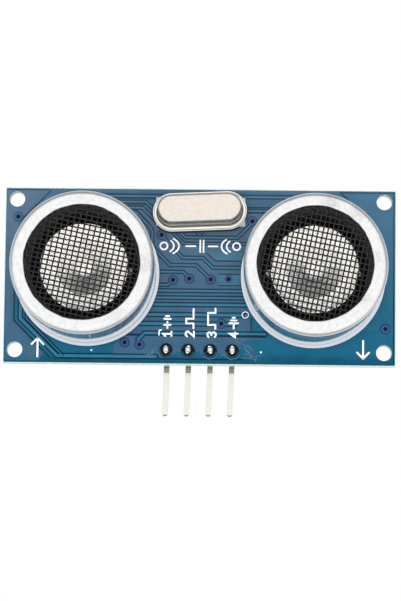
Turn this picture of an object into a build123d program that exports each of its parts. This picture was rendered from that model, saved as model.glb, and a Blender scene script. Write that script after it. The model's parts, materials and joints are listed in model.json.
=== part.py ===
from build123d import *
import os
from math import sin, cos, radians, hypot

# Ultrasonic distance sensor module.
# A small rectangular circuit board carries two round open-type ultrasonic transducers side by side,
# a flat quartz crystal standing at the top edge between them, and a four-way angled pin header at the
# bottom edge. The ranging electronics sit on the back of the board as surface-mount parts.
#
# Frame: millimetres. Origin at the centre of the four mounting holes, on the back face of the board.
# +Z is up the board, away from the header's free pins. The transducers look along -Y. +X is to the
# right when the transducers are looked at; the transmitter is at -X and the receiver at +X.

os.makedirs("parts", exist_ok=True)

# ---------------------------------------------------------------- driving dimensions
board_w = 45.2            # along X
board_h = 20.4            # along Z
board_drop = 0.1          # the board's middle lies this far below the centre of the mounting holes
board_t = 1.6             # along Y, front face at y = -board_t
hole_r = 0.9              # mounting holes
hole_sx = 42.5            # mounting hole spacing along X
hole_sz = 17.5            # mounting hole spacing along Z

can_x = 13.0              # transducer centres at +-can_x
can_r = 8.05              # outside radius of the can's wall
can_h = 12.0              # height of the can above the board
can_wall = 0.4
can_top_t = 0.55          # thickness of the can's front ring
can_corner = 0.8          # outside draw radius at the front edge
lip_r = 8.38              # flange at the can's open end
lip_t = 0.6
mouth_r = 6.45            # opening in the can's front ring

mesh_t = 0.22             # wire mesh behind the front ring
mesh_r = 7.45
mesh_pitch_a = 0.63
mesh_pitch_b = 0.532
mesh_wire = 0.17
mesh_turn = -11.6         # turn of the mesh about the transducer's axis, degrees

housing_r = 7.6           # black inner housing
housing_in_r = 6.25
housing_floor = (0.9, 2.8)  # bottom and top of its floor, above the board
term_pitch = 10.0         # transducer terminals, along X
term_r = 0.4
term_hole_r = 0.5
term_back = 1.5           # how far they stand out at the back

xtal_z = 7.4
xtal_turn = 2.7           # the crystal sits slightly askew, degrees
xtal_len, xtal_wid = 10.0, 3.6        # can
flange_len, flange_wid = 10.8, 4.4    # welded flange
xtal_pitch = 4.88
xtal_lead_r = 0.215
xtal_hole_r = 0.4

hdr_z = -8.65             # header row
hdr_pitch = 2.54
pin_w = 0.64
pin_hole_r = 0.5
hdr_body = 2.54
pin_leg_y = 3.95          # centre of the free legs, behind the board
pin_tip_z = -15.92
pin_front = 1.1           # how far the pins stand out at the front

via_r, via_bore = 0.3, 0.15
# Via positions on the board, (x, z), over the whole board.
vias = [
    (-21.1, 6.67), (5.99, 6.39), (-4.49, 4.69), (-3.11, -0.52), (-1.22, -0.36),
    (1.25, -0.44), (3.31, -0.38), (2.51, -5.54), (-8.59, -7.82), (-6.87, -8.05),
    (21.4, -5.97), (5.28, -4.51), (-0.11, 5.2),
    (-9.2, 4.3), (-16.9, -4.4), (-9.4, -4.9), (9.3, 4.6), (16.7, -4.9), (9.2, -4.3), (17.3, 3.6),
]


def front(h):
    """Plane parallel to the board's front face, h above it, facing -Y."""
    return Plane.XZ.offset(board_t + h)


def back(h):
    """Plane parallel to the board's back face, h behind it, facing +Y; local x is -X."""
    return Plane(origin=(0, h, 0), x_dir=(-1, 0, 0), z_dir=(0, 1, 0))


def section(cx, cz=0.0):
    """Radial section plane of a turned piece: local x is the radius, local y the height above the board's front."""
    return Plane(origin=(cx, -board_t, cz), x_dir=(1, 0, 0), z_dir=(0, 0, -1))


def turning_axis(cx, cz=0.0):
    return Axis((cx, -board_t, cz), (0, -1, 0))


def save(part, name):
    part.label = name
    export_step(part, "parts/" + name + ".step")


# ---------------------------------------------------------------- circuit board
with BuildPart() as circuit_board:
    with BuildSketch(Plane.XZ):
        with Locations((0, -board_drop)):
            Rectangle(board_w, board_h)
        with GridLocations(hole_sx, hole_sz, 2, 2):
            Circle(hole_r, mode=Mode.SUBTRACT)
        with Locations((0, hdr_z)):
            with GridLocations(hdr_pitch, 1, 4, 1):
                Circle(pin_hole_r, mode=Mode.SUBTRACT)
        with Locations((0, xtal_z)):
            with GridLocations(xtal_pitch, 1, 2, 1):
                Circle(xtal_hole_r, mode=Mode.SUBTRACT)
        with Locations((-can_x, 0), (can_x, 0)):
            with GridLocations(term_pitch, 1, 2, 1):
                Circle(term_hole_r, mode=Mode.SUBTRACT)
        with Locations(*vias):
            Circle(via_r, mode=Mode.SUBTRACT)
    extrude(amount=board_t)
save(circuit_board.part, "circuit_board")

# Plated copper barrels in the via holes, open through the middle.
with BuildPart() as via_barrels:
    with BuildSketch(Plane.XZ):
        with Locations(*vias):
            Circle(via_r)
        with Locations(*vias):
            Circle(via_bore, mode=Mode.SUBTRACT)
    extrude(amount=board_t)
save(via_barrels.part, "via_barrels")


# ---------------------------------------------------------------- transducers
def transducer(cx, name, wires_tall):
    """One open-type ultrasonic transducer, turned about an axis along -Y through (cx, 0).
    wires_tall: True where the wider spacing of the mesh runs across, between its upright wires."""
    axis = turning_axis(cx)

    # Deep-drawn aluminium can: flange at the board, straight wall, rounded shoulder, front ring with
    # the wide mouth in it.
    with BuildPart() as can:
        with BuildSketch(section(cx)):
            with BuildLine():
                Polyline(
                    (can_r - can_wall, 0), (lip_r, 0), (lip_r, lip_t),
                    (can_r, lip_t + 0.25), (can_r, can_h), (mouth_r, can_h),
                    (mouth_r, can_h - can_top_t), (can_r - can_wall, can_h - can_top_t),
                    close=True,
                )
            make_face()
        revolve(axis=axis)
        rims = can.edges().filter_by(GeomType.CIRCLE)
        outer = rims.filter_by(lambda e: abs(e.radius - can_r) < 1e-3).sort_by(Axis.Y)[0]
        fillet(outer, can_corner)
        mouth = can.edges().filter_by(GeomType.CIRCLE).filter_by(
            lambda e: abs(e.radius - mouth_r) < 1e-3).sort_by(Axis.Y)[0]
        fillet(mouth, 0.2)
        foot = can.edges().filter_by(GeomType.CIRCLE).filter_by(
            lambda e: abs(e.radius - lip_r) < 1e-3).sort_by(Axis.Y)
        fillet(foot, 0.15)
        shoulder = can.edges().filter_by(GeomType.CIRCLE).filter_by(
            lambda e: abs(e.radius - can_r) < 1e-3).sort_by(Axis.Y)[-1]
        fillet(shoulder, 0.3)
    save(can.part, name + "_can")

    # Black wire mesh, clamped between the front ring and the inner housing.
    mesh_h = can_h - can_top_t - mesh_t
    step_x = mesh_pitch_a if wires_tall else mesh_pitch_b
    step_z = mesh_pitch_b if wires_tall else mesh_pitch_a
    turn = radians(mesh_turn)
    cells = []
    for i in range(-14, 15):
        for j in range(-14, 15):
            u, v = i * step_x, j * step_z
            if hypot(abs(u) + step_x / 2, abs(v) + step_z / 2) < mouth_r + 0.25:
                cells.append((cx + u * cos(turn) - v * sin(turn), u * sin(turn) + v * cos(turn)))
    with BuildPart() as mesh:
        with BuildSketch(front(mesh_h)):
            with Locations((cx, 0)):
                Circle(mesh_r)
            with Locations(*cells):
                Rectangle(step_x - mesh_wire, step_z - mesh_wire, rotation=mesh_turn, mode=Mode.SUBTRACT)
        extrude(amount=mesh_t)
    save(mesh.part, name + "_mesh")

    # Black moulded inner housing: a cup whose wall holds the mesh against the front ring and whose
    # floor carries the vibrating element and the terminals.
    lo, hi = housing_floor
    with BuildPart() as housing:
        with BuildSketch(section(cx)):
            with BuildLine():
                Polyline(
                    (0, lo), (housing_r, lo), (housing_r, mesh_h), (housing_in_r, mesh_h),
                    (housing_in_r, hi + 0.6), (housing_in_r - 0.5, hi), (0, hi),
                    close=True,
                )
            make_face()
        revolve(axis=axis)
        with BuildSketch(front(lo)):
            with Locations((cx, 0)):
                with GridLocations(term_pitch, 1, 2, 1):
                    Circle(term_r)
        extrude(amount=hi - lo, mode=Mode.SUBTRACT)
    save(housing.part, name + "_housing")

    # Resin that seals the open end of the can behind the housing.
    with BuildPart() as potting:
        with BuildSketch(front(0.25)):
            with Locations((cx, 0)):
                Circle(housing_r)
                with GridLocations(term_pitch, 1, 2, 1):
                    Circle(term_r, mode=Mode.SUBTRACT)
        extrude(amount=lo - 0.25)
    save(potting.part, name + "_potting")

    # Two round terminals, through the resin, the housing floor and the board.
    with BuildPart() as terminals:
        with BuildSketch(Plane.XZ.offset(-term_back)):
            with Locations((cx, 0)):
                with GridLocations(term_pitch, 1, 2, 1):
                    Circle(term_r)
        extrude(amount=term_back + board_t + hi + 0.5)
    save(terminals.part, name + "_terminals")

    # Silicone ring that carries the vibrating element on its nodal circle.
    ring_h = 1.2
    with BuildPart() as support_ring:
        with BuildSketch(front(hi)):
            with Locations((cx, 0)):
                Circle(3.7)
                Circle(2.9, mode=Mode.SUBTRACT)
        extrude(amount=ring_h)
        fillet(support_ring.edges().filter_by(GeomType.CIRCLE).filter_by(
            lambda e: abs(e.radius - 3.7) < 1e-3).sort_by(Axis.Y)[-1], 0.15)
    save(support_ring.part, name + "_support_ring")

    # Piezo ceramic disc, bonded under the metal diaphragm.
    piezo_h = hi + ring_h
    with BuildPart() as piezo:
        with BuildSketch(front(piezo_h)):
            with Locations((cx, 0)):
                Circle(3.9)
        extrude(amount=0.25)
    save(piezo.part, name + "_piezo")

    with BuildPart() as diaphragm:
        with BuildSketch(front(piezo_h + 0.25)):
            with Locations((cx, 0)):
                Circle(4.75)
        extrude(amount=0.2)
    save(diaphragm.part, name + "_diaphragm")

    # Thin aluminium resonator cone, glued by the boss at its middle to the diaphragm and opening to a
    # wide, shallower rim.
    base = piezo_h + 0.45
    rim = 7.2
    with BuildPart() as cone:
        with BuildSketch(section(cx)):
            with BuildLine():
                Polyline(
                    (0, base), (0.9, base), (0.9, rim - 1.75), (3.15, rim - 0.72), (4.75, rim - 0.3), (5.05, rim - 0.2),
                    (5.05, rim), (4.9, rim), (3.1, rim - 0.52), (0.75, rim - 1.6), (0, rim - 1.6),
                    close=True,
                )
            make_face()
        revolve(axis=axis)
    save(cone.part, name + "_cone")

    # Hair-thin lead wires from the terminals to the diaphragm and to the piezo's lower face.
    wire_r = 0.09
    top = hi + 0.5
    with BuildPart() as lead_wires:
        for side, level, reach in ((1, piezo_h + 0.25 - wire_r, 4.15), (-1, piezo_h - wire_r, 3.76)):
            x0 = cx + side * term_pitch / 2
            with BuildLine() as route:
                FilletPolyline(
                    (x0, -board_t - top, 0),
                    (x0, -board_t - level, 0),
                    (cx + side * reach, -board_t - level, 0),
                    radius=0.3,
                )
            with BuildSketch(front(top)):
                with Locations((x0, 0)):
                    Circle(wire_r)
            sweep(path=route.wires()[0])
    save(lead_wires.part, name + "_lead_wires")

    # Solder at the back of the board.
    with BuildPart() as solder:
        for side in (-1, 1):
            x0 = cx + side * term_pitch / 2
            with BuildSketch(Plane(origin=(x0, 0, 0), x_dir=(1, 0, 0), z_dir=(0, 0, 1))):
                with BuildLine():
                    Line((term_r, 0), (1.05, 0))
                    Line((1.05, 0), (1.05, 0.08))
                    ThreePointArc((1.05, 0.08), (0.66, 0.42), (term_r, 1.15))
                    Line((term_r, 1.15), (term_r, 0))
                make_face()
            revolve(axis=Axis((x0, 0, 0), (0, 1, 0)))
    save(solder.part, name + "_solder")


transducer(-can_x, "transmitter", True)
transducer(can_x, "receiver", False)

# ---------------------------------------------------------------- quartz crystal
pad_t = 0.3
flange_t = 0.45
xtal_top = 3.95

# White insulating pad under the crystal, with its square corners showing past the round ends.
with BuildPart() as crystal_insulator:
    with BuildSketch(front(0)):
        with Locations((0, xtal_z)):
            Rectangle(10.3, 3.3)
            with GridLocations(xtal_pitch, 1, 2, 1):
                Circle(xtal_hole_r, mode=Mode.SUBTRACT)
    extrude(amount=pad_t)
save(crystal_insulator.part, "crystal_insulator")

askew = Location((0, xtal_z, 0), (0, 0, xtal_turn))   # where the crystal stands on its pad

# Metal header plate with its weld flange, pierced for the two glass seals.
with BuildPart() as crystal_base:
    with BuildSketch(front(pad_t)):
        with Locations(askew):
            SlotOverall(flange_len, flange_wid)
            with GridLocations(xtal_pitch, 1, 2, 1):
                Circle(0.55, mode=Mode.SUBTRACT)
    extrude(amount=flange_t * 0.5)
save(crystal_base.part, "crystal_base")

# Drawn cover: flange, wall and flat top, hollow.
with BuildPart() as crystal_can:
    with BuildSketch(front(pad_t + flange_t * 0.5)):
        with Locations(askew):
            SlotOverall(flange_len, flange_wid)
    extrude(amount=flange_t * 0.5)
    with BuildSketch(front(pad_t + flange_t)):
        with Locations(askew):
            SlotOverall(xtal_len, xtal_wid)
    extrude(amount=xtal_top - pad_t - flange_t)
    fillet(crystal_can.faces().sort_by(Axis.Y)[0].edges(), 0.3)
    with BuildSketch(front(pad_t + flange_t * 0.5)):
        with Locations(askew):
            SlotOverall(xtal_len - 0.5, xtal_wid - 0.5)
    extrude(amount=xtal_top - pad_t - flange_t * 0.5 - 0.25, mode=Mode.SUBTRACT)
save(crystal_can.part, "crystal_can")

lead_top = pad_t + 1.1
with BuildPart() as crystal_leads:
    with BuildSketch(Plane.XZ.offset(-1.2)):
        with Locations(askew):
            with GridLocations(xtal_pitch, 1, 2, 1):
                Circle(xtal_lead_r)
    extrude(amount=1.2 + board_t + lead_top)
save(crystal_leads.part, "crystal_leads")

with BuildPart() as crystal_seals:
    with BuildSketch(front(pad_t)):
        with Locations(askew):
            with GridLocations(xtal_pitch, 1, 2, 1):
                Circle(0.55)
            with GridLocations(xtal_pitch, 1, 2, 1):
                Circle(xtal_lead_r, mode=Mode.SUBTRACT)
    extrude(amount=flange_t * 0.5)
save(crystal_seals.part, "crystal_seals")

# Spring clips on the inner ends of the leads, each slotted for the quartz blank.
blank_t = 0.15
with BuildPart() as crystal_clips:
    with BuildSketch(front(lead_top)):
        with Locations(askew):
            with GridLocations(xtal_pitch, 1, 2, 1):
                Rectangle(0.9, 1.1)
    extrude(amount=1.1)
    with BuildSketch(front(lead_top + 0.3)):
        with Locations(askew):
            Rectangle(20, blank_t)
    extrude(amount=2, mode=Mode.SUBTRACT)
save(crystal_clips.part, "crystal_clips")

with BuildPart() as crystal_blank:
    with BuildSketch(front(lead_top + 0.3)):
        with Locations(askew):
            Rectangle(7.4, blank_t)
    extrude(amount=1.6)
save(crystal_blank.part, "crystal_blank")

with BuildPart() as crystal_solder:
    for side in (-1, 1):
        x0 = side * xtal_pitch / 2 * cos(radians(xtal_turn))
        z0 = xtal_z + side * xtal_pitch / 2 * sin(radians(xtal_turn))
        with BuildSketch(Plane(origin=(x0, 0, z0), x_dir=(1, 0, 0), z_dir=(0, 0, 1))):
            with BuildLine():
                Line((xtal_lead_r, 0), (0.75, 0))
                Line((0.75, 0), (0.75, 0.06))
                ThreePointArc((0.75, 0.06), (0.42, 0.3), (xtal_lead_r, 0.85))
                Line((xtal_lead_r, 0.85), (xtal_lead_r, 0))
            make_face()
        revolve(axis=Axis((x0, 0, z0), (0, 1, 0)))
save(crystal_solder.part, "crystal_solder")

# ---------------------------------------------------------------- pin header
with BuildPart() as header_housing:
    with BuildSketch(back(0)):
        with Locations((0, hdr_z)):
            with GridLocations(hdr_pitch, 1, 4, 1):
                # each position is an octagonal block, joined to its neighbours
                RectangleRounded(hdr_pitch, hdr_body, 0.01)
        for k in range(5):
            for side in (-1, 1):
                with Locations(((k - 2) * hdr_pitch, hdr_z + side * hdr_body / 2)):
                    Rectangle(0.5, 0.5, rotation=45, mode=Mode.SUBTRACT)
    extrude(amount=hdr_body)
    with BuildSketch(back(0)):
        with Locations((0, hdr_z)):
            with GridLocations(hdr_pitch, 1, 4, 1):
                Rectangle(pin_w, pin_w)
    extrude(amount=hdr_body, mode=Mode.SUBTRACT)
save(header_housing.part, "header_housing")


def header_pin(index, name):
    """Square pin bent once: short end through the board, free leg pointing down behind it."""
    x = (index - 1.5) * hdr_pitch
    with BuildPart() as pin:
        with BuildSketch(Plane(origin=(x - pin_w / 2, 0, 0), x_dir=(0, 1, 0), z_dir=(1, 0, 0))):
            with BuildLine():
                Polyline(
                    (-board_t - pin_front, hdr_z - pin_w / 2), (-board_t - pin_front, hdr_z + pin_w / 2),
                    (pin_leg_y + pin_w / 2, hdr_z + pin_w / 2), (pin_leg_y + pin_w / 2, pin_tip_z),
                    (pin_leg_y - pin_w / 2, pin_tip_z), (pin_leg_y - pin_w / 2, hdr_z - pin_w / 2),
                    close=True,
                )
            make_face()
        extrude(amount=pin_w)
        # outside and inside of the bend, then the two ends
        fillet(pin.edges().filter_by(Axis.X).filter_by(
            lambda e: abs(e.center().Y - pin_leg_y - pin_w / 2) < 1e-3
            and abs(e.center().Z - hdr_z - pin_w / 2) < 1e-3), 0.9)
        fillet(pin.edges().filter_by(Axis.X).filter_by(
            lambda e: abs(e.center().Y - pin_leg_y + pin_w / 2) < 1e-3
            and abs(e.center().Z - hdr_z + pin_w / 2) < 1e-3), 0.3)
        chamfer(pin.faces().sort_by(Axis.Z)[0].edges(), 0.17)
        chamfer(pin.faces().sort_by(Axis.Y)[0].edges(), 0.12)
    save(pin.part, name)


header_pin(0, "supply_pin")
header_pin(1, "trigger_pin")
header_pin(2, "echo_pin")
header_pin(3, "ground_pin")

# Solder cones around the pins at the front.
with BuildPart() as header_solder:
    for k in range(4):
        x = (k - 1.5) * hdr_pitch
        with BuildSketch(section(x, hdr_z)):
            with BuildLine():
                Line((0, 0), (0.78, 0))
                Line((0.78, 0), (0.78, 0.06))
                ThreePointArc((0.78, 0.06), (0.6, 0.3), (0.5, 0.75))
                Line((0.5, 0.75), (0, 0.75))
                Line((0, 0.75), (0, 0))
            make_face()
        revolve(axis=turning_axis(x, hdr_z))
    with BuildSketch(front(0)):
        with Locations((0, hdr_z)):
            with GridLocations(hdr_pitch, 1, 4, 1):
                Rectangle(pin_w, pin_w)
    extrude(amount=1.0, mode=Mode.SUBTRACT)
save(header_solder.part, "header_solder")


# ---------------------------------------------------------------- surface-mount parts on the back
def small_outline_ic(cx, cz, leads, name):
    """Small-outline package standing along Z: moulded body with sloped sides and gull-wing leads."""
    length = 8.65 if leads == 14 else 9.9
    per_side = leads // 2
    stand, tall, wid = 0.15, 1.45, 3.9
    with BuildPart() as body:
        with BuildSketch(back(stand + 0.65)):
            with Locations((-cx, cz)):
                Rectangle(wid, length)
        extrude(amount=tall - 0.65, taper=7)
        with BuildSketch(back(stand + 0.65)):
            with Locations((-cx, cz)):
                Rectangle(wid, length)
        extrude(amount=-0.65, taper=7)
        # pin-one dimple in the top face
        with BuildSketch(back(stand + tall)):
            with Locations((-cx + wid / 2 - 0.95, cz + length / 2 - 1.0)):
                Circle(0.35)
        extrude(amount=-0.08, mode=Mode.SUBTRACT)
    save(body.part, name + "_body")

    t = 0.2
    mid = stand + 0.65
    with BuildPart() as gull:
        for side in (-1, 1):
            pts = [
                (wid / 2, mid + t / 2), (wid / 2 + 0.38, mid + t / 2), (wid / 2 + 0.62, t),
                (3.0, t), (3.0, 0.0), (wid / 2 + 0.46, 0.0), (wid / 2 + 0.22, mid - t / 2), (wid / 2, mid - t / 2),
            ]
            for k in range(per_side):
                z = cz + (k - (per_side - 1) / 2) * 1.27
                with BuildSketch(Plane(origin=(cx, 0, z - 0.2), x_dir=(side, 0, 0),
                                       z_dir=(0, 0, side))):
                    with BuildLine():
                        Polyline(*pts, close=True)
                    make_face()
                extrude(amount=0.4 * side)
    save(gull.part, name + "_leads")


small_outline_ic(-can_x, 0.0, 14, "amplifier_ic")
small_outline_ic(0.0, -1.3, 14, "controller_ic")
small_outline_ic(can_x, 0.0, 16, "driver_ic")

# Three-legged transistor between the controller and the driver.
tr_x, tr_z = 5.6, 5.6
with BuildPart() as transistor_body:
    with BuildSketch(back(0.1)):
        with Locations((-tr_x, tr_z)):
            Rectangle(1.3, 2.9)
    extrude(amount=1.0, taper=6)
save(transistor_body.part, "transistor_body")

with BuildPart() as transistor_leads:
    for side, offset in ((1, 0.95), (1, -0.95), (-1, 0.0)):
        with BuildSketch(Plane(origin=(tr_x, 0, tr_z + offset - 0.2), x_dir=(side, 0, 0),
                               z_dir=(0, 0, side))):
            with BuildLine():
                Polyline((0.62, 0.58), (0.85, 0.58), (0.98, 0.12), (1.25, 0.12), (1.25, 0.0),
                         (0.88, 0.0), (0.75, 0.46), (0.62, 0.46), close=True)
            make_face()
        extrude(amount=0.4 * side)
save(transistor_leads.part, "transistor_leads")

# Chip resistors and capacitors, 1.6 x 0.8 mm, (x, z, turned).
resistors = [
    (-5.4, 4.6, 0), (-5.4, 3.0, 0), (-5.4, 1.4, 0), (-5.4, -2.0, 0), (-5.4, -3.6, 0), (-5.4, -5.2, 0),
    (5.5, -0.2, 0), (5.5, -1.8, 0), (5.5, -3.4, 0), (-13.0, 6.4, 0), (-9.0, 8.6, 0), (13.0, -7.3, 0),
]
capacitors = [
    (5.5, 1.6, 0), (5.5, -5.0, 0), (-5.4, 8.2, 0), (4.6, 8.9, 0), (-15.8, -6.6, 0), (-12.6, -6.6, 0),
    (16.2, -7.3, 0), (13.0, 7.4, 0),
]


def chips(places, height, name):
    with BuildPart() as middle:
        with BuildSketch(back(0.03)):
            with Locations(*[(-x, z) for x, z, _ in places]):
                Rectangle(1.0, 0.8)
        extrude(amount=height)
    save(middle.part, name + "_bodies")
    with BuildPart() as ends:
        with BuildSketch(back(0)):
            with Locations(*[(-x + s * 0.65, z) for x, z, _ in places for s in (-1, 1)]):
                Rectangle(0.3, 0.84)
        extrude(amount=height + 0.05)
    save(ends.part, name + "_ends")


chips(resistors, 0.42, "resistor")
chips(capacitors, 0.78, "capacitor")
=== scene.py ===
import bpy, bmesh, math, random, json
from mathutils import Vector, Matrix, noise


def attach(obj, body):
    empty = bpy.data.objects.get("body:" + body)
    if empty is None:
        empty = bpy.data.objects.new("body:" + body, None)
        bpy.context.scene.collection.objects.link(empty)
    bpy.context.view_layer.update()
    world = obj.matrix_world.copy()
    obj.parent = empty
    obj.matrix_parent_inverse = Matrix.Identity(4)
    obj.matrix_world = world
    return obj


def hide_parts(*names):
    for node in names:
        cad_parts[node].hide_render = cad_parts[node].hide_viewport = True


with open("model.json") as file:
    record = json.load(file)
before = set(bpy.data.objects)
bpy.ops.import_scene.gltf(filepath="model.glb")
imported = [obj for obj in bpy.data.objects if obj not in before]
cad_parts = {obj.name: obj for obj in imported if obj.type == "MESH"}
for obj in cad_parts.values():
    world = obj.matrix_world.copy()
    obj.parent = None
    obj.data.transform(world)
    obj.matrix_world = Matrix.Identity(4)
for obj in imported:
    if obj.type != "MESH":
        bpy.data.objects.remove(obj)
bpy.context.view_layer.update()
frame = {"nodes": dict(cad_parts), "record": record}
random.seed(41)
MM = 0.001
FRONT = -1.6          # the board's front face, mm along Y
REC = frame["record"]
SLOT = {s["node"]: s["material_slot"] for s in REC["subparts"]}

scene = bpy.context.scene
scene.view_settings.view_transform = "Standard"
scene.view_settings.look = "None"
scene.view_settings.exposure = 0.0
scene.view_settings.gamma = 1.0


# ------------------------------------------------------------------ materials
def lin(r, g, b):
    """sRGB 0..255 to linear, as a colour with alpha."""
    def f(c):
        c = c / 255.0
        return c / 12.92 if c <= 0.04045 else ((c + 0.055) / 1.055) ** 2.4
    return (f(r), f(g), f(b), 1.0)


class Mat:
    """A small builder for node materials on object coordinates, in millimetres."""

    def __init__(self, name, metallic=0.0, ior=1.5, specular=0.5, coat=0.0, coat_rough=0.1):
        self.m = bpy.data.materials.new(name)
        self.m.use_nodes = True
        self.t = self.m.node_tree
        self.n = self.t.nodes
        self.n.clear()
        self.out = self.n.new("ShaderNodeOutputMaterial")
        self.b = self.n.new("ShaderNodeBsdfPrincipled")
        self.t.links.new(self.b.outputs["BSDF"], self.out.inputs["Surface"])
        self.b.inputs["Metallic"].default_value = metallic
        self.b.inputs["IOR"].default_value = ior
        self.b.inputs["Specular IOR Level"].default_value = specular
        self.b.inputs["Coat Weight"].default_value = coat
        self.b.inputs["Coat Roughness"].default_value = coat_rough
        tc = self.n.new("ShaderNodeTexCoord")
        mp = self.n.new("ShaderNodeVectorMath")
        mp.operation = "SCALE"
        mp.inputs["Scale"].default_value = 1000.0
        self.t.links.new(tc.outputs["Object"], mp.inputs[0])
        self.co = mp.outputs["Vector"]

    def link(self, a, b):
        self.t.links.new(a, b)

    def stretch(self, sx, sy, sz, src=None):
        v = self.n.new("ShaderNodeVectorMath")
        v.operation = "MULTIPLY"
        v.inputs[1].default_value = (sx, sy, sz)
        self.link(src or self.co, v.inputs[0])
        return v.outputs["Vector"]

    def noise(self, scale, detail=4.0, rough=0.55, src=None, distortion=0.0):
        k = self.n.new("ShaderNodeTexNoise")
        k.inputs["Scale"].default_value = scale
        k.inputs["Detail"].default_value = detail
        k.inputs["Roughness"].default_value = rough
        k.inputs["Distortion"].default_value = distortion
        self.link(src or self.co, k.inputs["Vector"])
        return k.outputs["Fac"]

    def voronoi(self, scale, feature="F1", src=None, rand=1.0):
        k = self.n.new("ShaderNodeTexVoronoi")
        k.feature = feature
        k.inputs["Scale"].default_value = scale
        k.inputs["Randomness"].default_value = rand
        self.link(src or self.co, k.inputs["Vector"])
        return k.outputs["Distance"]

    def wave(self, scale, axis="X", kind="BANDS", distortion=0.0, src=None, detail=2.0, dscale=1.0, rings="Y"):
        k = self.n.new("ShaderNodeTexWave")
        k.wave_type = kind
        if kind == "BANDS":
            k.bands_direction = axis
        else:
            k.rings_direction = rings
        k.inputs["Scale"].default_value = scale
        k.inputs["Distortion"].default_value = distortion
        k.inputs["Detail"].default_value = detail
        k.inputs["Detail Scale"].default_value = dscale
        self.link(src or self.co, k.inputs["Vector"])
        return k.outputs["Fac"]

    def ramp(self, src, *stops):
        k = self.n.new("ShaderNodeValToRGB")
        e = k.color_ramp.elements
        while len(e) > 1:
            e.remove(e[-1])
        for i, (p, c) in enumerate(stops):
            el = e[0] if i == 0 else e.new(p)
            el.position = p
            el.color = c if not isinstance(c, (int, float)) else (c, c, c, 1)
        self.link(src, k.inputs["Fac"])
        return k.outputs["Color"]

    def mix(self, a, b, fac, mode="MIX"):
        k = self.n.new("ShaderNodeMix")
        k.data_type = "RGBA"
        k.blend_type = mode
        for sock, v in ((k.inputs[6], a), (k.inputs[7], b)):
            if isinstance(v, (tuple, list)):
                sock.default_value = v
            else:
                self.link(v, sock)
        if isinstance(fac, (int, float)):
            k.inputs[0].default_value = fac
        else:
            self.link(fac, k.inputs[0])
        return k.outputs[2]

    def math(self, op, a, b=None, c=None, clamp=False):
        k = self.n.new("ShaderNodeMath")
        k.operation = op
        k.use_clamp = clamp
        for i, v in enumerate((a, b, c)):
            if v is None:
                continue
            if isinstance(v, (int, float)):
                k.inputs[i].default_value = v
            else:
                self.link(v, k.inputs[i])
        return k.outputs[0]

    def bump(self, height, strength, dist_mm, prev=None):
        k = self.n.new("ShaderNodeBump")
        k.inputs["Strength"].default_value = strength
        k.inputs["Distance"].default_value = dist_mm * MM
        self.link(height, k.inputs["Height"])
        if prev is not None:
            self.link(prev, k.inputs["Normal"])
        return k.outputs["Normal"]

    def done(self, color, rough, normal=None):
        for sock, v in ((self.b.inputs["Base Color"], color), (self.b.inputs["Roughness"], rough)):
            if isinstance(v, (int, float, tuple, list)):
                sock.default_value = v
            else:
                self.link(v, sock)
        if normal is not None:
            self.link(normal, self.b.inputs["Normal"])
        return self.m


def mask_material(name, r, g, b, dark=0.86, rough=0.30, weave=0.35, sheen=0.30, low=None):
    """Solder mask over copper or over bare laminate: glossy ink with a faint glass weave showing through."""
    k = Mat(name, coat=0.0, specular=0.06)
    base = lin(r, g, b)
    dim = tuple(c * dark for c in base[:3]) + (1,)
    n1 = k.noise(0.55, 3)
    n2 = k.noise(6.0, 5)
    wx = k.wave(1.05, "X", distortion=0.7, detail=1, dscale=3)
    wz = k.wave(1.0, "Z", distortion=0.7, detail=1, dscale=3)
    w = k.math("MULTIPLY", wx, wz)
    col = k.mix(dim, base, k.ramp(n1, (0.30, 0), (0.70, 1)))
    col = k.mix(col, tuple(min(1, c * 1.14 + 0.004) for c in base[:3]) + (1,), k.math("MULTIPLY", k.ramp(n2, (0.52, 0), (0.80, 1)), 0.55))
    col = k.mix(col, tuple(c * 0.80 for c in base[:3]) + (1,), k.math("MULTIPLY", w, 0.22 * weave))
    sep = k.n.new("ShaderNodeSeparateXYZ")
    k.link(k.co, sep.inputs[0])
    mr = k.n.new("ShaderNodeMapRange")
    mr.interpolation_type = "SMOOTHSTEP"
    mr.inputs["From Min"].default_value = -9.5
    mr.inputs["From Max"].default_value = 9.5
    k.link(sep.outputs["Z"], mr.inputs["Value"])
    # painted sheen: the mask colour is mixed towards a pale grey-blue higher up the board, a painted reflection that
    # fades out towards the bottom
    pale = k.math("MULTIPLY", k.math("MULTIPLY", mr.outputs["Result"], k.math("ADD", k.math("MULTIPLY", n1, 0.5), 0.85)), sheen)
    col = k.mix(col, lin(128, 140, 160), pale)
    # darker teal towards the bottom edge of the board
    if low:
        foot = k.n.new("ShaderNodeMapRange")
        foot.interpolation_type = "SMOOTHSTEP"
        foot.inputs["From Min"].default_value = -8.3
        foot.inputs["From Max"].default_value = -9.6
        k.link(k.math("ADD", sep.outputs["Z"], k.math("MULTIPLY", n1, 1.2)), foot.inputs["Value"])
        col = k.mix(col, lin(*low), k.math("MULTIPLY", foot.outputs["Result"], 0.8))
    rg = k.math("ADD", k.math("MULTIPLY", n2, 0.14), rough - 0.07)
    nor = k.bump(n2, 0.10, 0.05)
    nor = k.bump(w, 0.05 * weave, 0.05, nor)
    return k.done(col, rg, nor)


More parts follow.
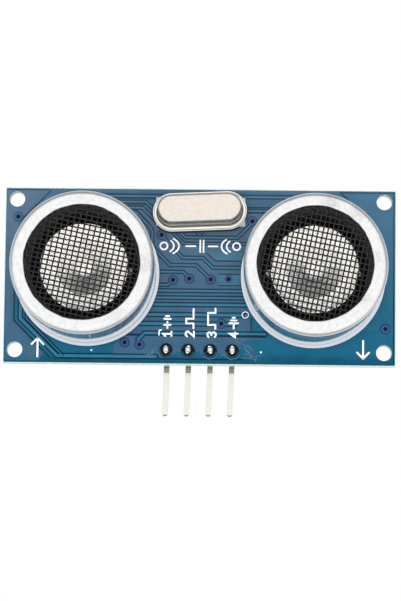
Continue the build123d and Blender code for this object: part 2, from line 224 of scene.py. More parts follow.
def metal(name, rgb, rough=0.3, var=0.10, grain=9.0, bump=0.15, speck=0.0, speck_rgb=(90, 88, 84), warm=None,
          stretch=None, scale2=1.2, coat=0.0, ior=1.5):
    k = Mat(name, metallic=1.0, coat=coat, coat_rough=0.12, ior=ior)
    base = lin(*rgb)
    src = k.stretch(*stretch) if stretch else None
    big = k.noise(scale2, 4)
    fine = k.noise(grain, 6, src=src)
    lowc = tuple(c * (1 - var) for c in base[:3]) + (1,)
    col = k.mix(lowc, base, k.ramp(fine, (0.32, 0), (0.66, 1)))
    if warm:
        col = k.mix(col, lin(*warm), k.math("MULTIPLY", k.ramp(big, (0.42, 0), (0.72, 1)), 0.6))
    rg = k.math("ADD", k.math("MULTIPLY", fine, 0.22), rough - 0.11)
    if speck > 0:
        s = k.voronoi(1.7)
        gate = k.ramp(k.noise(0.8, 2), (0.50, 0), (0.60, 1))
        sp = k.math("MULTIPLY", k.ramp(s, (0.03, 1), (0.075, 0)), gate)
        col = k.mix(col, lin(*speck_rgb), k.math("MULTIPLY", sp, speck))
    nor = k.bump(fine, bump, 0.03)
    return k.done(col, rg, nor)


M = {}


def fr4():
    k = Mat("laminate", ior=1.55)
    ply = k.wave(2.6, "Y", distortion=1.2, detail=3, dscale=4)
    n = k.noise(8, 5, src=k.stretch(0.25, 3.0, 0.25))
    col = k.mix(lin(212, 220, 212), lin(176, 190, 178), ply)
    col = k.mix(col, lin(226, 228, 216), k.math("MULTIPLY", k.ramp(n, (0.5, 0), (0.8, 1)), 0.7))
    nor = k.bump(n, 0.35, 0.04)
    return k.done(col, 0.62, nor)


M["fr4"] = fr4()
M["mask_bare"] = mask_material("mask over laminate", 16, 90, 118, weave=0.7, sheen=0.20, low=(2, 64, 86))
M["mask_pour"] = mask_material("mask over copper pour", 56, 91, 117, weave=0.15, rough=0.27, sheen=0.24, low=(34, 82, 108))
M["mask_trace"] = mask_material("mask over trace", 44, 108, 134, weave=0.1, rough=0.24, sheen=0.22)
# gaps: the darker mask over bare laminate, deepened with painted shade along the edges of traces, pours and via rings
M["mask_gap"] = mask_material("mask in the gaps with painted shade", 5, 40, 62, weave=0.2, rough=0.34, sheen=0.12)
M["mask_ring"] = mask_material("mask over via ring", 50, 78, 122, weave=0.1, rough=0.26, sheen=0.15)
M["mask_hole"] = mask_material("mask in via hole", 5, 13, 40, weave=0.0, rough=0.3, sheen=0.0)


def silk_mat():
    k = Mat("white marking ink")
    n = k.noise(14, 5)
    col = k.mix(lin(240, 246, 250), lin(254, 255, 255), k.ramp(n, (0.35, 0), (0.6, 1)))
    return k.done(col, 0.55, k.bump(n, 0.25, 0.02))


M["silk"] = silk_mat()


def can_material(name, scuff, patches):
    """Drawn aluminium: a smooth wall that mirrors the board, and a matt, handled front ring with specks and scuffs."""
    k = Mat(name, metallic=1.0, coat=0.0)
    sep = k.n.new("ShaderNodeSeparateXYZ")
    k.link(k.co, sep.inputs[0])

    def along(lo, hi):
        mr = k.n.new("ShaderNodeMapRange")
        mr.interpolation_type = "SMOOTHSTEP"
        mr.inputs["From Min"].default_value = lo
        mr.inputs["From Max"].default_value = hi
        k.link(sep.outputs["Y"], mr.inputs["Value"])
        return mr.outputs["Result"]
    face = along(-13.04, -13.56)
    foot = along(-2.45, -2.30)
    fine = k.noise(15, 8, 0.65)
    mid = k.noise(2.4, 5, 0.6)
    big = k.noise(0.45, 3)
    high = along(-6.0, -11.5)
    base = k.mix(lin(175, 175, 177), lin(188, 188, 187), k.ramp(mid, (0.30, 0), (0.62, 1)))
    base = k.mix(lin(224, 227, 231), base, face)
    base = k.mix(base, lin(150, 154, 160), k.math("MULTIPLY", k.ramp(fine, (0.56, 0), (0.74, 1)), k.math("MULTIPLY", face, 0.55)))
    v = k.voronoi(1.25)
    gate = k.ramp(k.noise(0.9, 2), (0.54, 0), (0.64, 1))
    sp = k.math("MULTIPLY", k.ramp(v, (0.05, 1), (0.12, 0)), gate)
    base = k.mix(base, lin(96, 94, 92), k.math("MULTIPLY", sp, 0.6))
    sc = k.noise(3.0, 7, 0.7, src=k.stretch(2.4, 0.7, 0.8), distortion=1.4)
    scr = k.math("MULTIPLY", k.ramp(sc, (0.66 - 0.06 * scuff, 0), (0.72 - 0.04 * scuff, 1)), k.ramp(big, (0.56 - 0.08 * scuff, 0), (0.64 - 0.06 * scuff, 1)))
    base = k.mix(base, lin(120, 119, 118), k.math("MULTIPLY", k.math("MULTIPLY", scr, face), 0.7))
    rub = k.ramp(k.noise(9.0, 8, 0.75, src=k.stretch(1.6, 1.0, 0.45)), (0.46, 0), (0.62, 1))
    for (px, pz, pr, amt) in patches:
        d = k.n.new("ShaderNodeVectorMath")
        d.operation = "DISTANCE"
        k.link(k.co, d.inputs[0])
        d.inputs[1].default_value = (px, -13.6, pz)
        near = k.ramp(k.math("DIVIDE", d.outputs["Value"], pr * 2), (0.15, 1), (0.55, 0))
        base = k.mix(base, lin(96, 96, 97), k.math("MULTIPLY", k.math("MULTIPLY", near, rub), amt))
    base = k.mix(base, lin(160, 164, 170), foot)
    rg = k.math("ADD", k.math("MULTIPLY", fine, 0.05), 0.02)
    rg = k.math("ADD", rg, k.math("MULTIPLY", high, 0.10))
    rg = k.math("ADD", rg, k.math("MULTIPLY", face, 0.24))
    rg = k.math("ADD", rg, k.math("MULTIPLY", foot, 0.22))
    rg = k.math("ADD", rg, k.math("MULTIPLY", sp, 0.15))
    drawn = k.wave(0.9, "Y", distortion=1.4, detail=3, dscale=1.5)
    nor = k.bump(k.math("MULTIPLY", fine, k.math("ADD", k.math("MULTIPLY", face, 0.9), 0.1)), 0.30, 0.02)
    nor = k.bump(k.math("MULTIPLY", mid, k.math("ADD", k.math("MULTIPLY", face, 0.8), 0.2)), 0.12, 0.05, nor)
    nor = k.bump(drawn, 0.015, 0.05, nor)
    return k.done(base, rg, nor)


M["can_transmitter"] = can_material("drawn aluminium, transmitter", 0.3, ((-6.05, -0.2, 1.3, 0.55), (-9.0, -6.4, 1.5, 0.25), (-13.6, 7.3, 1.2, 0.2)))
M["can_receiver"] = can_material("drawn aluminium, receiver", 1.0, ((14.6, 7.0, 1.3, 0.75), (17.3, 5.6, 1.2, 0.55), (18.2, -3.6, 1.2, 0.5), (19.6, 0.8, 1.2, 0.3)))



def black_mat(name, rgb=(16, 16, 18), hi=(38, 38, 42), rough=0.5, grain=10, bump=0.3, metallic=0.0, gs=0.5, spec=0.35):
    k = Mat(name, metallic=metallic, specular=spec)
    n = k.noise(grain, 6)
    m = k.noise(1.1, 3)
    col = k.mix(lin(*rgb), lin(*hi), k.math("MULTIPLY", k.ramp(n, (0.45, 0), (0.8, 1)), gs))
    col = k.mix(col, lin(*hi), k.math("MULTIPLY", k.ramp(m, (0.5, 0), (0.75, 1)), 0.35))
    rg = k.math("ADD", k.math("MULTIPLY", n, 0.2), rough - 0.1)
    return k.done(col, rg, k.bump(n, bump, 0.03))


M["mesh"] = black_mat("black lacquered wire", (11, 11, 12), (26, 26, 28), 0.26, 24, 0.2, spec=0.35)
M["housing"] = black_mat("black moulded housing", (54, 55, 58), (70, 71, 75), 0.62, 7, 0.35, spec=0.2)
M["header"] = black_mat("black header plastic", (18, 18, 20), (34, 34, 37), 0.45, 8, 0.25)
M["epoxy"] = black_mat("moulding compound", (30, 30, 32), (52, 52, 55), 0.58, 18, 0.4, gs=0.8)
M["resistor"] = black_mat("resistor overglaze", (20, 20, 24), (34, 34, 40), 0.30, 9, 0.15)
M["potting"] = black_mat("potting resin", (26, 24, 22), (44, 41, 38), 0.35, 4, 0.3)
M["cone"] = metal("spun aluminium cone", (252, 250, 246), 0.26, 0.10, 7.0, 0.25, warm=(254, 241, 222), scale2=0.9)
M["diaphragm"] = metal("diaphragm metal", (206, 198, 182), 0.30, 0.12, 9, 0.2)
M["piezo"] = metal("silvered ceramic", (214, 210, 200), 0.38, 0.12, 11, 0.25)
M["terminal"] = metal("tinned terminal", (208, 208, 206), 0.28, 0.15, 9, 0.2)
M["wire"] = metal("copper wire", (196, 130, 92), 0.28, 0.15, 14, 0.2)


def pin_material():
    """Tin plate, bright along the free length, with a painted shade band with cross lines just below the board where it
    leaves the plastic.
    """
    k = Mat("tin plated pin", metallic=1.0)
    sep = k.n.new("ShaderNodeSeparateXYZ")
    k.link(k.co, sep.inputs[0])
    fine = k.noise(9, 6, src=k.stretch(3, 3, 0.35))
    col = k.mix(lin(172, 170, 163), lin(182, 180, 173), k.ramp(fine, (0.32, 0), (0.66, 1)))
    big = k.noise(1.6, 3)
    col = k.mix(col, lin(172, 167, 152), k.math("MULTIPLY", k.ramp(big, (0.45, 0), (0.7, 1)), 0.5))
    lines = k.wave(1.35, "Z", distortion=0.4, detail=2, dscale=2)
    # painted shade: a darker band with cross lines just below the board's bottom edge
    shade_band = k.mix(lin(84, 92, 80), lin(134, 144, 128), k.ramp(lines, (0.35, 0), (0.75, 1)))
    gate = k.ramp(k.math("MULTIPLY", k.math("ADD", sep.outputs["Z"], 12.0), 0.5), (0.545, 0), (0.565, 1), (0.94, 1), (0.97, 0))
    col = k.mix(col, shade_band, gate)
    rg = k.math("ADD", k.math("MULTIPLY", fine, 0.2), 0.17)
    nor = k.bump(fine, 0.25, 0.03)
    return k.done(col, rg, nor)


M["pin"] = pin_material()
M["solder"] = metal("solder", (150, 156, 164), 0.12, 0.18, 5, 0.12)
# front fillets: a much darker copy of the solder, a painted dark reflection
M["front_solder"] = metal("solder fillet", (70, 80, 84), 0.14, 0.3, 4, 0.2)
# cut pin ends in a far lighter copy of the tin: painted highlight
M["pin_tip"] = metal("cut pin end", (236, 238, 240), 0.30, 0.10, 12, 0.25)


def crystal_material():
    """Nickel-silver case with painted dark bands round the shoulder, the wall and the weld (painted shade at the weld
    and the foot, painted reflection of the board high on the wall), a painted light band on the wall and a painted
    highlight on the flange rim.
    """
    k = Mat("crystal case", metallic=1.0)
    sep = k.n.new("ShaderNodeSeparateXYZ")
    k.link(k.co, sep.inputs[0])
    fine = k.noise(15, 7, 0.65)
    mid = k.noise(3.2, 5, src=k.stretch(0.8, 1, 1.6))
    col = k.mix(lin(158, 149, 140), lin(181, 175, 169), k.ramp(fine, (0.33, 0), (0.60, 1)))
    col = k.mix(col, lin(188, 178, 172), k.math("MULTIPLY", k.ramp(mid, (0.45, 0), (0.7, 1)), 0.5))
    h = k.math("MULTIPLY", k.math("ADD", sep.outputs["Y"], 1.6), -0.25)
    edge = k.math("MULTIPLY", k.math("SUBTRACT", fine, 0.5), 0.010)
    h = k.math("ADD", h, edge)
    # painted shade and reflection: dark bands at the weld and the foot are painted shade, the one high on the wall by
    # the shoulder is a painted reflection of the board
    line = k.ramp(h, (0.164, 0.9), (0.170, 0.9), (0.1735, 0.15), (0.1900, 0.0), (0.1930, 0.85), (0.330, 0.80), (0.372, 0.15), (0.700, 0.05), (0.735, 0.75), (0.860, 0.75), (0.905, 0.1), (0.95, 0.0))
    col = k.mix(col, lin(54, 46, 36), line)
    # painted light: a pale tan band across the middle of the wall
    light_band = k.ramp(h, (0.372, 0), (0.40, 1), (0.69, 1), (0.72, 0))
    col = k.mix(col, lin(236, 226, 204), light_band)
    # painted highlight: a lighter band round the flange rim
    rim = k.ramp(h, (0.1735, 0), (0.1755, 1), (0.1895, 1), (0.1915, 0))
    col = k.mix(col, lin(216, 212, 206), rim)
    rg = k.math("ADD", k.math("MULTIPLY", fine, 0.14), 0.17)
    rg = k.math("ADD", rg, k.math("MULTIPLY", light_band, 0.25))
    rg = k.math("ADD", rg, k.math("MULTIPLY", rim, 0.18))
    nor = k.bump(fine, 0.22, 0.03)
    nor = k.bump(mid, 0.10, 0.05, nor)
    return k.done(col, rg, nor)


M["crystal"] = crystal_material()
M["lead"] = metal("tinned lead", (200, 202, 205), 0.27, 0.14, 12, 0.2)
M["chip_end"] = metal("chip termination", (206, 207, 209), 0.30, 0.14, 12, 0.25)
M["copper"] = metal("plated barrel", (150, 142, 112), 0.35, 0.2, 12, 0.2)


def plain_mat(name, a, b, rough, grain=6, bump=0.2, **kw):
    k = Mat(name, **kw)
    n = k.noise(grain, 5)
    col = k.mix(lin(*a), lin(*b), k.ramp(n, (0.35, 0), (0.65, 1)))
    rg = k.math("ADD", k.math("MULTIPLY", n, 0.16), rough - 0.08)
    return k.done(col, rg, k.bump(n, bump, 0.03))


M["insulator"] = plain_mat("insulating pad", (176, 182, 188), (214, 218, 222), 0.6, 5, 0.2)
M["silicone"] = plain_mat("silicone", (205, 205, 198), (226, 226, 220), 0.5, 5, 0.15)
M["capacitor"] = plain_mat("capacitor ceramic", (150, 120, 90), (172, 141, 108), 0.42, 12, 0.25)
M["quartz"] = plain_mat("quartz", (225, 230, 232), (238, 241, 242), 0.12, 5, 0.05)
M["seal"] = plain_mat("glass seal", (22, 38, 34), (36, 56, 50), 0.12, 8, 0.1)
M["alumina"] = plain_mat("alumina", (232, 230, 224), (244, 243, 238), 0.5, 9, 0.2)
M["flux"] = plain_mat("flux residue", (12, 78, 106), (38, 98, 128), 0.25, 2.6, 0.5)


# ------------------------------------------------------------------ mesh helpers
def obj_from(name, verts, faces, mat, slot=None, smooth=True, ride=True, replaces=(), sharp=35, recalc=True, merge=0.0):
    """A mesh object from millimetre coordinates; smooth faces with edges over `sharp` degrees kept sharp."""
    me = bpy.data.meshes.new(name)
    me.from_pydata([(x * MM, y * MM, z * MM) for x, y, z in verts], [], faces)
    me.update()
    ob = bpy.data.objects.new(name, me)
    scene.collection.objects.link(ob)
    bm = bmesh.new()
    bm.from_mesh(me)
    if merge:
        bmesh.ops.remove_doubles(bm, verts=bm.verts, dist=merge * MM)
    if recalc:
        bmesh.ops.recalc_face_normals(bm, faces=bm.faces)
    for f in bm.faces:
        f.smooth = smooth
    if smooth:
        lim = math.radians(sharp)
        for e in bm.edges:
            if len(e.link_faces) == 2:
                e.smooth = e.calc_face_angle(0) < lim
    bm.to_mesh(me)
    bm.free()
    me.materials.append(mat)
    if ride:
        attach(ob, "root")
    if replaces:
        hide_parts(*replaces)
    return ob


class Geo:
    """Collects verts and faces of many small solids into one mesh."""

    def __init__(self):
        self.v, self.f = [], []

    def add(self, v, f):
        k = len(self.v)
        self.v += v
        self.f += [tuple(i + k for i in q) for q in f]

    def make(self, name, mat, slot=None, **kw):
        return obj_from(name, self.v, self.f, mat, slot, **kw)


def place(side, x, z, h):
    """A point h mm proud of the board's front or back face."""
    return (x, FRONT - h, z) if side == "F" else (x, h, z)


def lathe(profile, cx, cz, segs=128, side="F", wobble=None, closed=False):
    """Turned surface about the normal through (cx, cz). profile is a list of (radius, height)."""
    v, f = [], []
    rings = []
    for j, (r, h) in enumerate(profile):
        if r < 1e-6:
            rings.append([len(v)])
            v.append(place(side, cx, cz, h))
        else:
            ids = []
            for i in range(segs):
                a = 2 * math.pi * i / segs
                rr, hh = r, h
                if wobble:
                    dr, dh = wobble(a, j, r, h)
                    rr += dr
                    hh += dh
                ids.append(len(v))
                v.append(place(side, cx + rr * math.cos(a), cz + rr * math.sin(a), hh))
            rings.append(ids)
    n = len(rings)
    for j in range(n if closed else n - 1):
        a, b = rings[j], rings[(j + 1) % n]
        if len(a) == 1 and len(b) == 1:
            continue
        if len(a) == 1:
            for i in range(segs):
                f.append((a[0], b[i], b[(i + 1) % segs]))
        elif len(b) == 1:
            for i in range(segs):
                f.append((a[i], b[0], a[(i + 1) % segs]))
        else:
            for i in range(segs):
                f.append((a[i], b[i], b[(i + 1) % segs], a[(i + 1) % segs]))
    return v, f


def arc(cx, cy, r, a0, a1, n):
    return [(cx + r * math.cos(math.radians(a0 + (a1 - a0) * i / n)), cy + r * math.sin(math.radians(a0 + (a1 - a0) * i / n))) for i in range(n + 1)]


def offset_poly(pts, d, closed=False):
    """Offsets a 2D polyline to its left by d, with mitred corners."""
    n = len(pts)
    out = []
    for i in range(n):
        p = Vector(pts[i])
        a = Vector(pts[i - 1]) if (i > 0 or closed) else None
        b = Vector(pts[(i + 1) % n]) if (i < n - 1 or closed) else None
        d1 = (p - a).normalized() if a is not None and (p - a).length > 1e-9 else None
        d2 = (b - p).normalized() if b is not None and (b - p).length > 1e-9 else None
        if d1 is None:
            d1 = d2
        if d2 is None:
            d2 = d1
        n1 = Vector((-d1.y, d1.x))
        n2 = Vector((-d2.y, d2.x))
        m = (n1 + n2)
        if m.length < 1e-6:
            m = n1
        m.normalize()
        c = max(0.35, m.dot(n1))
        out.append(tuple(p + m * (d / c)))
    return out


def strip(geo, pts, w, h0, h1, side="F", caps=True, slope=0.25, closed=False):
    """A printed or etched line: a low ridge of width w along a polyline, with sloped sides and round ends."""
    hw = w / 2
    s = min(hw * 0.45, (h1 - h0) * slope * 4)
    if caps and not closed:
        # round ends: outline polygon as a whole
        L = offset_poly(pts, hw)
        R = offset_poly(pts, -hw)
        Li = offset_poly(pts, hw - s)
        Ri = offset_poly(pts, -(hw - s))

        def cap(p, q, r):
            d = (Vector(p) - Vector(q)).normalized()
            a = math.degrees(math.atan2(d.y, d.x))
            return [(p[0] + r * math.cos(math.radians(t)), p[1] + r * math.sin(math.radians(t))) for t in (a - 60, a - 30, a, a + 30, a + 60)]
        outer = L + [*reversed([*cap(pts[-1], pts[-2], hw)])] + R[::-1] + [*reversed([*cap(pts[0], pts[1], hw)])]
        inner = Li + [*reversed([*cap(pts[-1], pts[-2], hw - s)])] + Ri[::-1] + [*reversed([*cap(pts[0], pts[1], hw - s)])]
        nl = len(pts)
        n = len(outer)
        v = [place(side, x, z, h0) for x, z in outer] + [place(side, x, z, h1) for x, z in inner]
        f = [(i, (i + 1) % n, n + (i + 1) % n, n + i) for i in range(n)]
        # top: quads along the line, fans at the ends
        for i in range(nl - 1):
            li, lj = n + i, n + i + 1
            ri = n + nl + 5 + (nl - 1 - i)
            rj = n + nl + 5 + (nl - 1 - i - 1)
            f.append((li, lj, rj, ri))
        endL = n + nl - 1
        f.append(tuple([endL] + [n + nl + k for k in range(5)] + [n + nl + 5]))
        startR = n + nl + 5 + nl - 1
        f.append(tuple([startR] + [startR + 1 + k for k in range(5)] + [n]))
        geo.add(v, f)
        return
    L = offset_poly(pts, hw, closed)
    R = offset_poly(pts, -hw, closed)
    Li = offset_poly(pts, hw - s, closed)
    Ri = offset_poly(pts, -(hw - s), closed)
    n = len(pts)
    v = []
    for q, h in ((L, h0), (Li, h1), (Ri, h1), (R, h0)):
        v += [place(side, x, z, h) for x, z in q]
    f = []
    m = n if closed else n - 1
    for i in range(m):
        j = (i + 1) % n
        for a in range(3):
            f.append((a * n + i, a * n + j, (a + 1) * n + j, (a + 1) * n + i))
    if not closed:
        f.append((0, n, 2 * n, 3 * n))
        f.append((n - 1, 2 * n - 1, 3 * n - 1, 4 * n - 1))
    geo.add(v, f)


def plate(name, loops, h0, h1, mat, slot, side="F", bevel=0.015, **kw):
    """A flat sheet with holes from closed 2D loops (x, z), between heights h0 and h1 off the board, edges eased."""
    cu = bpy.data.curves.new(name + "_c", "CURVE")
    cu.dimensions = "2D"
    cu.fill_mode = "BOTH"
    b = min(bevel, (h1 - h0) * 0.45)
    cu.extrude = (h1 - h0) / 2 - b
    cu.bevel_depth = b
    cu.bevel_resolution = 1
    cu.offset = -b
    for loop in loops:
        sp = cu.splines.new("POLY")
        sp.points.add(len(loop) - 1)
        for p, (x, z) in zip(sp.points, loop):
            p.co = (x, z, 0, 1)
        sp.use_cyclic_u = True
    tmp = bpy.data.objects.new(name + "_t", cu)
    scene.collection.objects.link(tmp)
    dg = bpy.context.evaluated_depsgraph_get()
    me = bpy.data.meshes.new_from_object(tmp.evaluated_get(dg))
    mid = (h0 + h1) / 2
    v = [place(side, p.co.x, p.co.y, mid + p.co.z) for p in me.vertices]
    f = [tuple(q.vertices) for q in me.polygons]
    bpy.data.objects.remove(tmp)
    bpy.data.curves.remove(cu)
    bpy.data.meshes.remove(me)
    return obj_from(name, v, f, mat, slot, merge=0.0004, **kw)


def circle(cx, cz, r, n=32):
    return [(cx + r * math.cos(2 * math.pi * i / n), cz + r * math.sin(2 * math.pi * i / n)) for i in range(n)]


def refined(node, mat, width=0.04, segments=2, angle=28, name=None):
    """A copy of a CAD node with its sharp edges eased, to stand for the node."""
    src = frame["nodes"][node]
    me = src.data.copy()
    me.name = (name or node) + "_detail"
    ob = bpy.data.objects.new((name or node) + "_detail", me)
    scene.collection.objects.link(ob)
    ob.matrix_world = src.matrix_world.copy()
    bm = bmesh.new()
    bm.from_mesh(me)
    bmesh.ops.remove_doubles(bm, verts=bm.verts, dist=2e-6)
    bmesh.ops.dissolve_limit(bm, angle_limit=math.radians(1.5), verts=bm.verts, edges=bm.edges)
    lim = math.radians(angle)
    es = [e for e in bm.edges if len(e.link_faces) == 2 and e.calc_face_angle(0) > lim]
    if es and width:
        bmesh.ops.bevel(bm, geom=es, offset=width * MM, offset_type="OFFSET", segments=segments, profile=0.6,
                        affect="EDGES", clamp_overlap=True)
    for f in bm.faces:
        f.smooth = True
    for e in bm.edges:
        if len(e.link_faces) == 2:
            e.smooth = e.calc_face_angle(0) < math.radians(32)
    bm.to_mesh(me)
    bm.free()
    me.materials.clear()
    me.materials.append(mat)
    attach(ob, "root")
    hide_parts(node)
    return ob


def repaint(node, mat):
    ob = frame["nodes"][node]
    if not ob.material_slots:
        ob.data.materials.append(mat)
    for s in ob.material_slots:
        s.material = mat


# ------------------------------------------------------------------ board
W2, ZT, ZB = 22.6, 10.1, -10.3
HOLES = [(sx * 21.25, sz * 8.75) for sx in (-1, 1) for sz in (-1, 1)]
VIAS = [(-21.1, 6.67), (5.99, 6.39), (-4.49, 4.69), (-3.11, -0.52), (-1.22, -0.36), (1.25, -0.44), (3.31, -0.38),
        (2.51, -5.54), (-8.59, -7.82), (-6.87, -8.05), (21.4, -5.97), (-0.11, 5.2)]
OPEN_VIA = (5.28, -4.51)
HIDDEN_VIAS = [(-9.2, 4.3), (-16.9, -4.4), (-9.4, -4.9), (9.3, 4.6), (16.7, -4.9), (9.2, -4.3), (17.3, 3.6)]
HDR_Z = -8.65
PADS = [(-3.81, HDR_Z), (-1.27, HDR_Z), (1.27, HDR_Z), (3.81, HDR_Z)]
XTAL = [(-2.44, 7.4), (2.44, 7.4)]
TERMS = [(-18, 0), (-8, 0), (8, 0), (18, 0)]

repaint("circuit_board", M["fr4"])
repaint("via_barrels", M["copper"])


def board_outline(inset):
    pts = []
    w, t, l = W2 - inset, ZT - inset, ZB + inset
    r = 0.12
    for cx, cz, a in ((w - r, t - r, 0), (-w + r, t - r, 90), (-w + r, l + r, 180), (w - r, l + r, 270)):
        pts += arc(cx, cz, r, a, a + 90, 4)
    return pts


ALLV = VIAS + HIDDEN_VIAS
front_holes = [circle(x, z, 0.905, 64) for x, z in HOLES] + [circle(x, z, 0.62, 40) for x, z in PADS]
front_holes += [circle(x, z, 0.40, 24) for x, z in XTAL] + [circle(x, z, 0.5, 24) for x, z in TERMS]
front_holes += [circle(x, z, 0.20, 24) for x, z in ALLV] + [circle(*OPEN_VIA, 0.25, 24)]
plate("front_mask", [board_outline(0.09)] + front_holes, 0.0, 0.03, M["mask_bare"], "solder_mask")
back_holes = [circle(x, z, 0.905, 64) for x, z in HOLES] + [circle(x, z, 0.72, 40) for x, z in PADS]
back_holes += [circle(x, z, 0.78, 32) for x, z in XTAL] + [circle(x, z, 1.06, 40) for x, z in TERMS]
back_holes += [circle(x, z, 0.20, 24) for x, z in ALLV] + [circle(*OPEN_VIA, 0.25, 24)]
plate("back_mask", [board_outline(0.09)] + back_holes, 0.0, 0.03, M["mask_bare"], "solder_mask", side="B")

# Copper areas under the mask, front: (loop of corners)
pours = {
    "pour_top_left": [(-22.36, 9.84), (-17.5, 9.84), (-19.2, 8.1), (-20.9, 6.2), (-21.3, 4.0), (-21.5, 2.5), (-21.5, -5.4), (-18.0, -9.0),
                      (-18.4, -10.0), (-22.36, -10.0)],
    "pour_centre": [(-7.3, 7.55), (-6.7, 7.55), (-4.9, 5.8), (4.6, 5.3), (5.4, 6.2), (5.2, 7.4), (7.2, 7.4), (5.8, 4.3), (5.1, 1.0),
                    (5.0, -1.2), (5.6, -2.6), (6.2, -4.2), (4.6, -4.28), (4.6, -4.98), (5.9, -4.98), (5.9, -6.35), (7.3, -6.95), (7.3, -7.3), (5.3, -7.45),
                    (4.9, -7.8), (4.75, -8.5), (4.4, -8.95), (0.6, -8.98), (-0.2, -8.8), (-2.3, -8.8), (-3.0, -9.15), (-5.1, -9.2), (-9.9, -9.15), (-9.9, -8.1), (-7.6, -6.3),
                    (-6.9, -5.2), (-6.0, -3.2), (-5.2, -1.0), (-5.1, 1.5), (-6.0, 4.6), (-7.3, 7.0)],
}


def grow(loop, n=3):
    """Rounds the corners of a loop slightly."""
    out = []
    m = len(loop)
    for i in range(m):
        p, a, b = Vector(loop[i]), Vector(loop[i - 1]), Vector(loop[(i + 1) % m])
        d1, d2 = (a - p), (b - p)
        r = min(0.12, d1.length * 0.4, d2.length * 0.4)
        p1, p2 = p + d1.normalized() * r, p + d2.normalized() * r
        for k in range(n + 1):
            t = k / n
            out.append(tuple(p1 * (1 - t) ** 2 + p * 2 * t * (1 - t) + p2 * t * t))
    return out


def inside(x, z, loop):
    c = False
    for i in range(len(loop)):
        (x1, z1), (x2, z2) = loop[i - 1], loop[i]
        if (z1 > z) != (z2 > z) and x < (x2 - x1) * (z - z1) / (z2 - z1) + x1:
            c = not c
    return c


for nm, loop in pours.items():
    holes = [circle(x, z, 0.96, 56) for x, z in HOLES if inside(x, z, loop) and all(inside(x + 1.02 * math.cos(t), z + 1.02 * math.sin(t), loop) for t in (0, 1.57, 3.14, 4.71))]
    holes += [circle(x, z, 0.2, 20) for x, z in VIAS if inside(x, z, loop)]
    holes += [circle(x, z, 0.62, 40) for x, z in PADS if inside(x, z, loop) and inside(x, z - 0.7, loop)]
    plate(nm, [grow(loop)] + holes, 0.028, 0.055, M["mask_pour"], "solder_mask", bevel=0.012)

# Traces, front: (points, width)
T = []
T += [([(-11.5, 9.2), (-4.0, 9.2)], 0.20), ([(-10.6, 8.54), (-6.35, 8.54), (-5.4, 7.6)], 0.18), ([(-9.6, 7.85), (-6.75, 7.85), (-5.2, 6.35)], 0.20)]
T += [([(-7.55, 7.35), (-5.75, 5.55), (-5.55, 5.0), (-5.6, 3.4), (-3.48, 1.2), (-0.45, 1.2), (0.95, -0.16), (1.25, -0.44)], 0.22)]
T += [([(3.6, 9.2), (11.5, 9.2)], 0.22), ([(4.6, 7.6), (8.2, 7.6)], 0.22)]
T += [([(-3.0, 5.7), (-1.72, 4.44), (4.28, 4.44), (5.99, 6.15)], 0.22)]
T += [([(-3.9, 5.7), (-1.9, 3.72), (-0.6, 3.72), (5.4, 3.72)], 0.18)]
T += [([(-4.49, 4.69), (-3.9, 4.0), (-2.0, 2.07), (0.32, 2.07), (1.46, 0.95), (5.2, 0.95)], 0.22)]
T += [([(-5.2, 0.42), (-1.95, 0.42), (-1.22, -0.32)], 0.22), ([(-5.2, -1.1), (-3.7, -1.1), (-3.11, -0.52)], 0.20)]
for z, w, x0, x1 in ((-1.77, 0.26, -5.6, 5.6), (-2.58, 0.24, -5.8, 5.8), (-3.38, 0.30, -6.2, 6.2), (-4.55, 0.34, -6.6, 5.0), (-5.6, 0.34, -7.0, 4.2)):
    T.append(([(x0, z), (x1, z)], w))
T += [([(7.6, -6.7), (-6.3, -6.7), (-7.05, -7.45), (-6.9, -8.0)], 0.30)]
T += [([(-20.65, -3.0), (-20.65, -5.15), (-16.35, -9.42), (-7.0, -9.42), (-5.0, -9.42)], 0.34)]
T += [([(-19.9, -4.6), (-19.9, -5.2), (-16.1, -9.0), (-15.6, -9.45)], 0.14)]
G = Geo()
GG = Geo()
for pts, w in T:
    # a wider dark strip under each trace: painted shade along its edges
    strip(GG, pts, w + 0.30, 0.052, 0.064, slope=0.2)
    strip(G, pts, w, 0.060, 0.082, slope=0.3)
GG.make("front_gaps", M["mask_gap"], "solder_mask", sharp=50)
G.make("front_traces", M["mask_trace"], "solder_mask", sharp=50)

# Thin isolation lines, in the gap colour with its painted shade
T2 = [([(-17.35, 9.75), (-20.6, 6.45)], 0.12), ([(-22.3, 9.82), (-17.5, 9.82)], 0.12), ([(16.1, 9.82), (22.35, 9.82), (22.35, -9.9)], 0.12),
      ([(16.2, 9.75), (17.3, 8.75)], 0.14), ([(-21.38, -1.5), (-21.38, -5.4), (-17.2, -9.6)], 0.13),
      ([(-7.9, 7.65), (-6.75, 7.65), (-4.95, 5.85)], 0.11), ([(-7.4, 7.6), (-5.9, 6.05)], 0.12),
      ([(-12, 9.42), (-4.5, 9.42)], 0.2), ([(3.6, 9.42), (12, 9.42)], 0.16), ([(5.0, 8.0), (8.6, 8.0)], 0.14), ([(4.8, 7.35), (7.8, 7.35)], 0.14),
      ([(-4.9, 8.2), (-9.9, 8.2)], 0.08), ([(-5.1, 8.87), (-10.9, 8.87)], 0.08),
      ([(0.75, 2.62), (1.72, 1.72), (4.9, 1.72)], 0.14), ([(-1.9, 3.95), (-0.8, 3.95)], 0.10), ([(2.2, 0.2), (4.9, 0.2)], 0.12), ([(2.2, -1.12), (4.9, -1.12)], 0.12),
      ([(-5.2, 1.62), (-4.6, 2.2)], 0.1), ([(-9, -6.9), (7.6, -7.02)], 0.24), ([(-15.9, -9.68), (5.0, -9.68)], 0.16), ([(5.95, -4.95), (5.95, -6.4)], 0.12)]
GG = Geo()
for pts, w in T2:
    strip(GG, pts, w, 0.052, 0.066, slope=0.2)
GG.make("front_lines", M["mask_gap"], "solder_mask", sharp=50)

